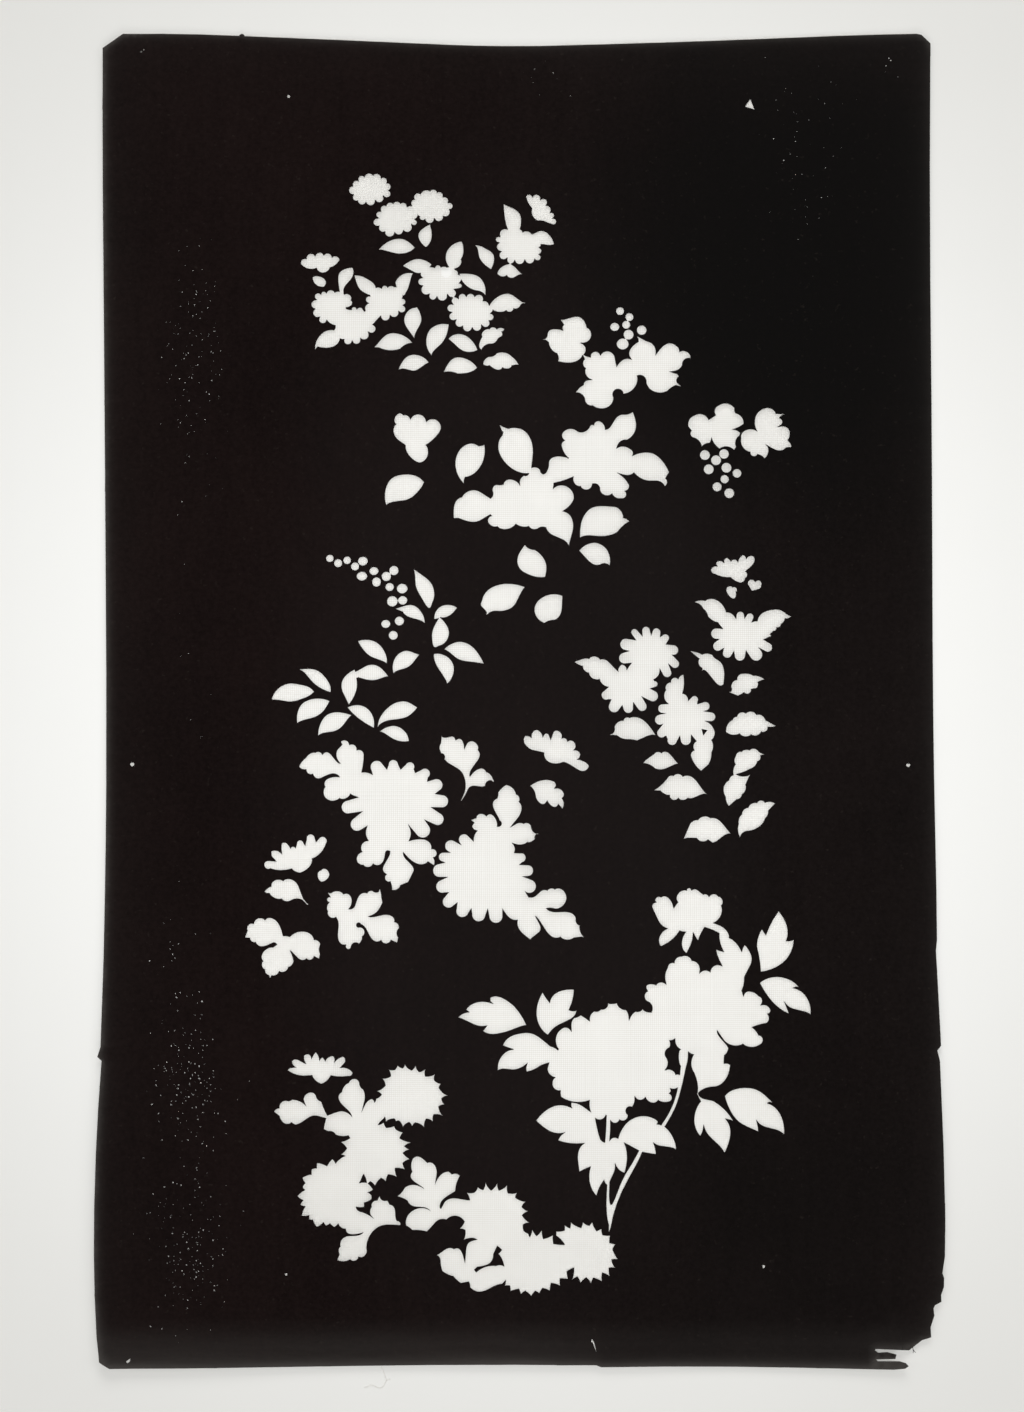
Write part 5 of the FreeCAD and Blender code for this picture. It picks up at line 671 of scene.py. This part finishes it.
# %% Lay the frayed thread
def strand(route, radius, bottom=gauze_low.z, sides=6, step=0.6):
    """Points and faces of a round strand along a smooth route through x, y pairs, resting on a height."""
    knots = np.array(route, float)
    ends = np.vstack((2 * knots[0] - knots[1], knots, 2 * knots[-1] - knots[-2]))
    path = []
    for a, b, c, d in zip(ends, ends[1:], ends[2:], ends[3:]):
        pieces = max(2, round(np.linalg.norm(c - b) / step))
        for t in np.arange(pieces) / pieces:
            path.append(0.5 * (2 * b + (c - a) * t + (2 * a - 5 * b + 4 * c - d) * t ** 2
                               + (3 * b - a - 3 * c + d) * t ** 3))
    path = np.array(path + [knots[-1]])
    along = np.gradient(path, axis=0)
    along /= np.linalg.norm(along, axis=1)[:, None]
    points, faces = [], []
    for (x, y), (dx, dy) in zip(path, along):
        for corner in range(sides):
            turn = 2 * math.pi * corner / sides
            points.append((x - dy * radius * math.cos(turn), y + dx * radius * math.cos(turn),
                           bottom + radius + radius * math.sin(turn)))
    for i in range(len(path) - 1):
        for corner in range(sides):
            a, b = sides * i + corner, sides * i + (corner + 1) % sides
            faces.append((a, b, b + sides, a + sides))
    last = sides * (len(path) - 1)
    faces += [tuple(range(sides))[::-1], tuple(last + corner for corner in range(sides))]
    return np.array(points), faces


def strand_piece(name, strands):
    """One object made of strands."""
    points = np.vstack([part[0] for part in strands])
    faces, first = [], 0
    for spots, shapes in strands:
        faces += [tuple(corner + first for corner in shape) for shape in shapes]
        first += len(spots)
    mesh = bpy.data.meshes.new(name)
    mesh.from_pydata(points * MM, [], faces)
    mesh.shade_smooth()
    piece = placed(name, mesh)
    print(name, "faces", len(faces))
    return piece


thread_radius, stub_radius = 0.11, 0.12
lower_end = np.interp(-66.0, *lower_side)
print("sheet ends at y %.1f mm where the thread comes out" % lower_end)
main_strand = strand([
    (-67.4, lower_end + 4.0), (-66.0, lower_end), (-64.9, lower_end - 2.4), (-63.9, lower_end - 4.8),
    (-63.0, lower_end - 7.4), (-63.5, lower_end - 8.7), (-64.4, lower_end - 10.4), (-66.1, lower_end - 11.4),
    (-68.7, lower_end - 10.5), (-70.9, lower_end - 10.0), (-72.3, lower_end - 10.8),
    (-73.8, lower_end - 11.1)], thread_radius)
split_strand = strand([
    (-63.3, lower_end - 7.6), (-62.2, lower_end - 7.4), (-61.0, lower_end - 6.9)], stub_radius)
frayed_thread = strand_piece("frayed_thread", [main_strand, split_strand])

# %% [markdown]
# ## Torn fibres
# Where the corner broke off, a few long mulberry fibres still hang from the break.  They are short strands
# of paper, rooted in the sheet at its own height.

# %% Let the torn fibres hang out
break_height = paper_low.z + 0.04 + float(lift(195.3, -323.3))
torn_fibres = strand_piece("torn_fibres", [
    strand([(195.0, -322.6), (195.5, -324.0), (196.0, -325.2), (197.0, -326.2)], 0.11, break_height),
    strand([(195.6, -322.6), (195.6, -324.0), (195.8, -325.6), (195.6, -326.4)], 0.12, break_height),
    strand([(194.5, -322.8), (194.4, -324.2), (194.1, -325.0)], 0.10, break_height),
    strand([(190.4, -323.4), (190.6, -324.6), (190.3, -325.1)], 0.08, break_height),
])

# %% [markdown]
# ## Shader maths as Python
# A finish is a tree of nodes.  Wrapping a socket in a small class lets a formula be written as it would be
# on paper, and every other node comes from one method.

# %% The socket wrapper
class Socket:
    """An output socket in a material.  Operators add Math nodes; add() makes any other node."""

    def __init__(self, tree, end=None):
        self.tree = tree
        self.end = end

    def add(self, kind, settings, sockets, out=0):
        """A node of this kind: its settings are set first, then values or links go to its sockets."""
        node = self.tree.nodes.new(kind)
        for name, value in settings.items():
            if name == "stops":
                ramp = node.color_ramp.elements
                while len(ramp) < len(value):
                    ramp.new(1.0)
                for element, (position, shade) in zip(ramp, value):
                    element.position = position
                    element.color = (shade, shade, shade, 1)
            else:
                setattr(node, name, value)
        for name, value in sockets.items():
            if isinstance(value, Socket):
                self.tree.links.new(value.end, node.inputs[name])
            else:
                node.inputs[name].default_value = value
        return Socket(self.tree, node.outputs[out] if node.outputs else None)

    def maths(self, operation, a, b):
        return self.add("ShaderNodeMath", {"operation": operation}, {0: a, 1: b})

    def __add__(self, other):
        return self.maths("ADD", self, other)

    __radd__ = __add__

    def __sub__(self, other):
        return self.maths("SUBTRACT", self, other)

    def __rsub__(self, other):
        return self.maths("SUBTRACT", other, self)

    def __mul__(self, other):
        return self.maths("MULTIPLY", self, other)

    __rmul__ = __mul__

    def mix(self, first, second):
        """Blend of two colours by this value."""
        return self.add("ShaderNodeMix", {"data_type": "RGBA"}, {0: self, 6: first, 7: second}, out=2)


def new_finish(name):
    """A material with an empty tree, ready for nodes."""
    material = bpy.data.materials.new(name)
    material.use_nodes = True
    material.node_tree.nodes.clear()
    return material, Socket(material.node_tree)


def close_finish(nodes, sockets):
    """The Principled shader at the end of a finish."""
    shader = nodes.add("ShaderNodeBsdfPrincipled", {}, sockets)
    nodes.add("ShaderNodeOutputMaterial", {}, {"Surface": shader})


# %% [markdown]
# ## Tannin paper
# Three plies of mulberry paper brushed with persimmon juice turn a deep warm brown, which is painted darker
# here, almost black, as painted shade of a sheet with its light behind it.  Close up there are long fibres,
# brush marks along the sheet and pools where the juice dried thicker, and the outer edges go a greyer brown,
# partly worn and partly a painted gleam of the curled margins.  The middle, where paste was scraped over the
# pattern, has gone dull, and two patches at the right keep a thicker, darker coat.  Position on the sheet
# drives it all through noise at several scales, so there is nothing to unwrap.

# %% Paper finish
def tannin_paper():
    material, nodes = new_finish("tannin_paper_finish")
    place = nodes.add("ShaderNodeTexCoord", {}, {}, out="Object")
    lengthways = nodes.add("ShaderNodeMapping", {}, {"Vector": place, "Scale": (1.0, 0.12, 1.0)})
    crossways = nodes.add("ShaderNodeMapping", {}, {
        "Vector": place, "Scale": (0.2, 1.0, 1.0), "Rotation": (0, 0, 0.5)})
    pools = nodes.add("ShaderNodeTexNoise", {}, {
        "Vector": place, "Scale": 9.0, "Detail": 4.0, "Roughness": 0.55})
    brush = nodes.add("ShaderNodeTexNoise", {}, {"Vector": lengthways, "Scale": 160.0, "Detail": 5.0})
    fibre = nodes.add("ShaderNodeTexNoise", {}, {
        "Vector": crossways, "Scale": 900.0, "Detail": 6.0, "Roughness": 0.65})
    speck = nodes.add("ShaderNodeTexNoise", {}, {"Vector": place, "Scale": 420.0, "Detail": 3.0})
    x = nodes.add("ShaderNodeSeparateXYZ", {}, {"Vector": place}, out="X")

    def patch(middle, inner, outer, tall=1.0):
        """1 inside a round or tall patch of the sheet, falling to 0 between its two radii."""
        squashed = nodes.add("ShaderNodeVectorMath", {"operation": "MULTIPLY"}, {0: place, 1: (1, 1 / tall, 1)})
        away = nodes.add("ShaderNodeVectorMath", {"operation": "DISTANCE"}, {
            0: squashed, 1: (middle[0], middle[1] / tall, 0)}, out="Value")
        return nodes.add("ShaderNodeMapRange", {"interpolation_type": "SMOOTHSTEP"}, {
            "Value": away + 0.06 * pools, "From Min": inner + 0.03, "From Max": outer + 0.03,
            "To Min": 1.0, "To Max": 0.0})

    cool = nodes.add("ShaderNodeMapRange", {"interpolation_type": "SMOOTHSTEP"}, {
        "Value": x + 0.12 * pools, "From Min": -0.02, "From Max": 0.20})
    mottle = nodes.add("ShaderNodeTexNoise", {}, {
        "Vector": place, "Scale": 520.0, "Detail": 3.0, "Roughness": 0.6})
    tone = 1.3 * pools + 1.3 * mottle + 0.40 * brush + 0.45 * fibre - 1.3
    # painted shade: both browns are darker than the paper's own warm brown, near black, as the sheet looks lit
    # from behind
    warm = tone.mix((0.0024, 0.0009, 0.0008, 1), (0.0086, 0.0046, 0.0042, 1))
    cold = tone.mix((0.0020, 0.0013, 0.0012, 1), (0.0068, 0.0048, 0.0045, 1))
    brown = (cool * 0.8 + 0.5 * mottle - 0.2).mix(warm, cold)
    scraped = patch((0.0, -0.03), 0.075, 0.15, tall=2.3)
    brown = (scraped * 0.36).mix(brown, (0.0105, 0.0085, 0.0082, 1))
    thick_lacquer = patch((0.155, 0.215), 0.05, 0.17)
    brown = (thick_lacquer * 0.8).mix(brown, (0.0010, 0.0009, 0.0008, 1))
    second_coat = patch((0.135, -0.265), 0.02, 0.09)
    brown = (second_coat * 0.3).mix(brown, (0.0010, 0.0011, 0.0009, 1))
    dust = nodes.add("ShaderNodeValToRGB", {"stops": [(0.66, 0.0), (0.78, 1.0)]}, {"Fac": speck})
    brown = (dust * 0.25).mix(brown, (0.030, 0.024, 0.020, 1))
    # the grey of the margins: partly worn skin, partly a painted gleam of the curled edges
    rubbed_and_gleam = nodes.add("ShaderNodeAttribute", {"attribute_name": "wear"}, {}, out="Fac")
    along_edge = nodes.add("ShaderNodeMapping", {}, {"Vector": place, "Scale": (0.12, 1.0, 1.0)})
    streaks = nodes.add("ShaderNodeTexNoise", {}, {"Vector": along_edge, "Scale": 210.0, "Detail": 4.0})
    # painted gleam and worn skin together turn the margins grey
    ragged = rubbed_and_gleam * (0.45 + 0.4 * fibre + 0.7 * streaks)
    brown = ragged.mix(brown, (0.044, 0.040, 0.037, 1))
    rough = 0.62 + 0.12 * pools + 0.12 * fibre - 0.08 * thick_lacquer + 0.1 * rubbed_and_gleam
    relief = 0.6 * fibre + 0.4 * brush
    grain = nodes.add("ShaderNodeBump", {}, {"Height": relief, "Strength": 0.35, "Distance": 0.0001})
    close_finish(nodes, {
        "Base Color": brown, "Roughness": rough, "Specular IOR Level": 0.032, "Normal": grain})
    return material


# %% [markdown]
# ## Silk, bare and soaked
# Bare silk in the cut-outs is a pale warm grey with a soft gloss that varies a little from thread to thread.
# Under the paper the same silk is soaked with lacquer and goes nearly as dark as the paper, but smoother.

# %% Silk finishes
def silk(name, pale, deep, rough_low, specular):
    material, nodes = new_finish(name)
    place = nodes.add("ShaderNodeTexCoord", {}, {}, out="Object")
    shade = nodes.add("ShaderNodeTexNoise", {}, {"Vector": place, "Scale": 60.0, "Detail": 4.0})
    twist = nodes.add("ShaderNodeTexNoise", {}, {"Vector": place, "Scale": 2600.0, "Detail": 2.0})
    colour = (0.7 * shade + 0.3 * twist).mix((*deep, 1), (*pale, 1))
    rough = rough_low + 0.2 * twist
    ply = nodes.add("ShaderNodeBump", {}, {"Height": twist, "Strength": 0.3, "Distance": 0.00003})
    close_finish(nodes, {
        "Base Color": colour, "Roughness": rough, "Specular IOR Level": specular, "Normal": ply})
    return material


paper_finish = tannin_paper()
bare_silk = silk("bare_silk", (0.80, 0.78, 0.74), (0.64, 0.62, 0.58), 0.45, 0.4)
soaked_silk = silk("soaked_silk", (0.016, 0.010, 0.007), (0.006, 0.004, 0.003), 0.30, 0.5)
for piece in papers + [torn_fibres]:
    piece.data.materials.append(paper_finish)
for piece in (open_gauze, frayed_thread):
    piece.data.materials.append(bare_silk)
bonded_gauze.data.materials.append(soaked_silk)
print("finishes:", [m.name for m in (paper_finish, bare_silk, soaked_silk)])

# %% [markdown]
# ## Silk in the gauze
# The two sets of threads are one cloth.  The net is open, so its flat area is counted as the silk that it
# holds and not as the air between the threads.

open_length = sum(b - a for _, a, b in warp_open + weft_open)
bonded_length = sum(b - a for _, a, b in warp_bonded + weft_bonded)
silk_area = (open_length * open_width + bonded_length * bonded_width) * MM * MM
print("silk in the net %.3f square metres" % silk_area)

# %% [markdown]
# ## Floor
# The sheet lies on a plain pale table.  The table is a matt surface, and its pale colour is painted duller
# with distance from the middle: a painted falloff of light, as on a lit board.

# %% The table
def table():
    """A round table top, just under the sheet."""
    disc = bmesh.new()
    bmesh.ops.create_circle(disc, cap_ends=True, segments=160, radius=1.5)
    mesh = bpy.data.meshes.new("table")
    disc.to_mesh(mesh)
    disc.free()
    plane = bpy.data.objects.new("table", mesh)
    plane.location.z = -0.00005
    bpy.context.scene.collection.objects.link(plane)
    material, nodes = new_finish("pale_table")
    place = nodes.add("ShaderNodeTexCoord", {}, {}, out="Object")
    distance = nodes.add("ShaderNodeVectorMath", {"operation": "LENGTH"}, {0: place}, out="Value")
    # painted falloff of light: the table's colour darkens away from the middle
    painted_falloff = nodes.add("ShaderNodeMapRange", {"interpolation_type": "SMOOTHSTEP"}, {
        "Value": distance, "From Min": 0.12, "From Max": 0.46})
    grain = nodes.add("ShaderNodeTexNoise", {}, {"Vector": place, "Scale": 30.0, "Detail": 3.0})
    pale_with_painted_falloff = (painted_falloff * 0.95 + grain * 0.05).mix((0.88, 0.88, 0.86, 1), (0.68, 0.675, 0.65, 1))
    close_finish(nodes, {"Base Color": pale_with_painted_falloff, "Roughness": 0.9, "Specular IOR Level": 0.1})
    plane.data.materials.append(material)


table()

# %% [markdown]
# ## Camera
# The camera looks down on the sheet from 1.1 m, a little below its middle, and leans back by a few degrees.
# Its axes are written out, so the lean and the slight roll stay plain numbers.

# %% Set the camera
lean, roll = math.radians(3.3), math.radians(0.22)
right = Vector((1, 0, 0))
up = Vector((0, math.cos(lean), math.sin(lean)))
back = Vector((0, -math.sin(lean), math.cos(lean)))
rolled_right = right * math.cos(roll) + up * math.sin(roll)
rolled_up = up * math.cos(roll) - right * math.sin(roll)
place_x, place_y, place_z = -0.002532, -0.072120, 1.098305
camera_data = bpy.data.cameras.new("camera")
camera_data.sensor_width = 36.0
camera_data.lens = 56.09
camera_data.clip_start = 0.05
camera = bpy.data.objects.new("camera", camera_data)
camera.matrix_world = Matrix((
    (rolled_right.x, rolled_up.x, back.x, place_x),
    (rolled_right.y, rolled_up.y, back.y, place_y),
    (rolled_right.z, rolled_up.z, back.z, place_z),
    (0, 0, 0, 1)))
bpy.context.scene.collection.objects.link(camera)
bpy.context.scene.camera = camera
print("camera at", [round(v, 3) for v in camera.matrix_world.translation])

# %% [markdown]
# ## Light
# Four broad soft lamps stand low round the table.  The flat sheet has little gloss and stays deep brown,
# while the curled margins turn towards a lamp and catch a faint gleam; their grey comes partly from painted
# gleam in the paper's finish.  A smaller lamp overhead shines straight down through the cut-outs and
# pinholes, so that the table shows bright behind them.  The sky is pale to the eye and in reflections, but
# lights the table only faintly.

# %% Lamps and sky
def lamp(name, place, size, power):
    data = bpy.data.lights.new(name, "AREA")
    data.shape = "RECTANGLE"
    data.size, data.size_y = size
    data.energy = power
    source = bpy.data.objects.new(name, data)
    source.location = place
    source.rotation_euler = (-Vector(place)).to_track_quat("-Z", "Y").to_euler()
    bpy.context.scene.collection.objects.link(source)
    print(name, power, "watts")


lamp_height = 1.25
lamp("right_lamp", (1.9, 0.1, lamp_height), (1.6, 1.0), 8.0)
lamp("left_lamp", (-1.9, 0.1, lamp_height), (1.6, 1.0), 6.0)
lamp("far_lamp", (0.0, 2.1, lamp_height), (1.8, 1.0), 27.0)
lamp("near_lamp", (0.0, -2.1, lamp_height), (1.8, 1.0), 19.0)
lamp("top_lamp", (0.0, -0.05, 1.7), (0.35, 0.35), 15.0)
world = bpy.data.worlds.new("sky")
bpy.context.scene.world = world
world.use_nodes = True
world.node_tree.nodes.clear()
sky = Socket(world.node_tree)
seen = sum(sky.add("ShaderNodeLightPath", {}, {}, out=ray)
           for ray in ("Is Camera Ray", "Is Glossy Ray", "Is Transmission Ray"))
glow = sky.add("ShaderNodeBackground", {}, {"Color": (1.0, 1.0, 0.98, 1), "Strength": 0.12 + 0.68 * seen})
sky.add("ShaderNodeOutputWorld", {}, {"Surface": glow})
bpy.context.scene.view_settings.view_transform = "Standard"
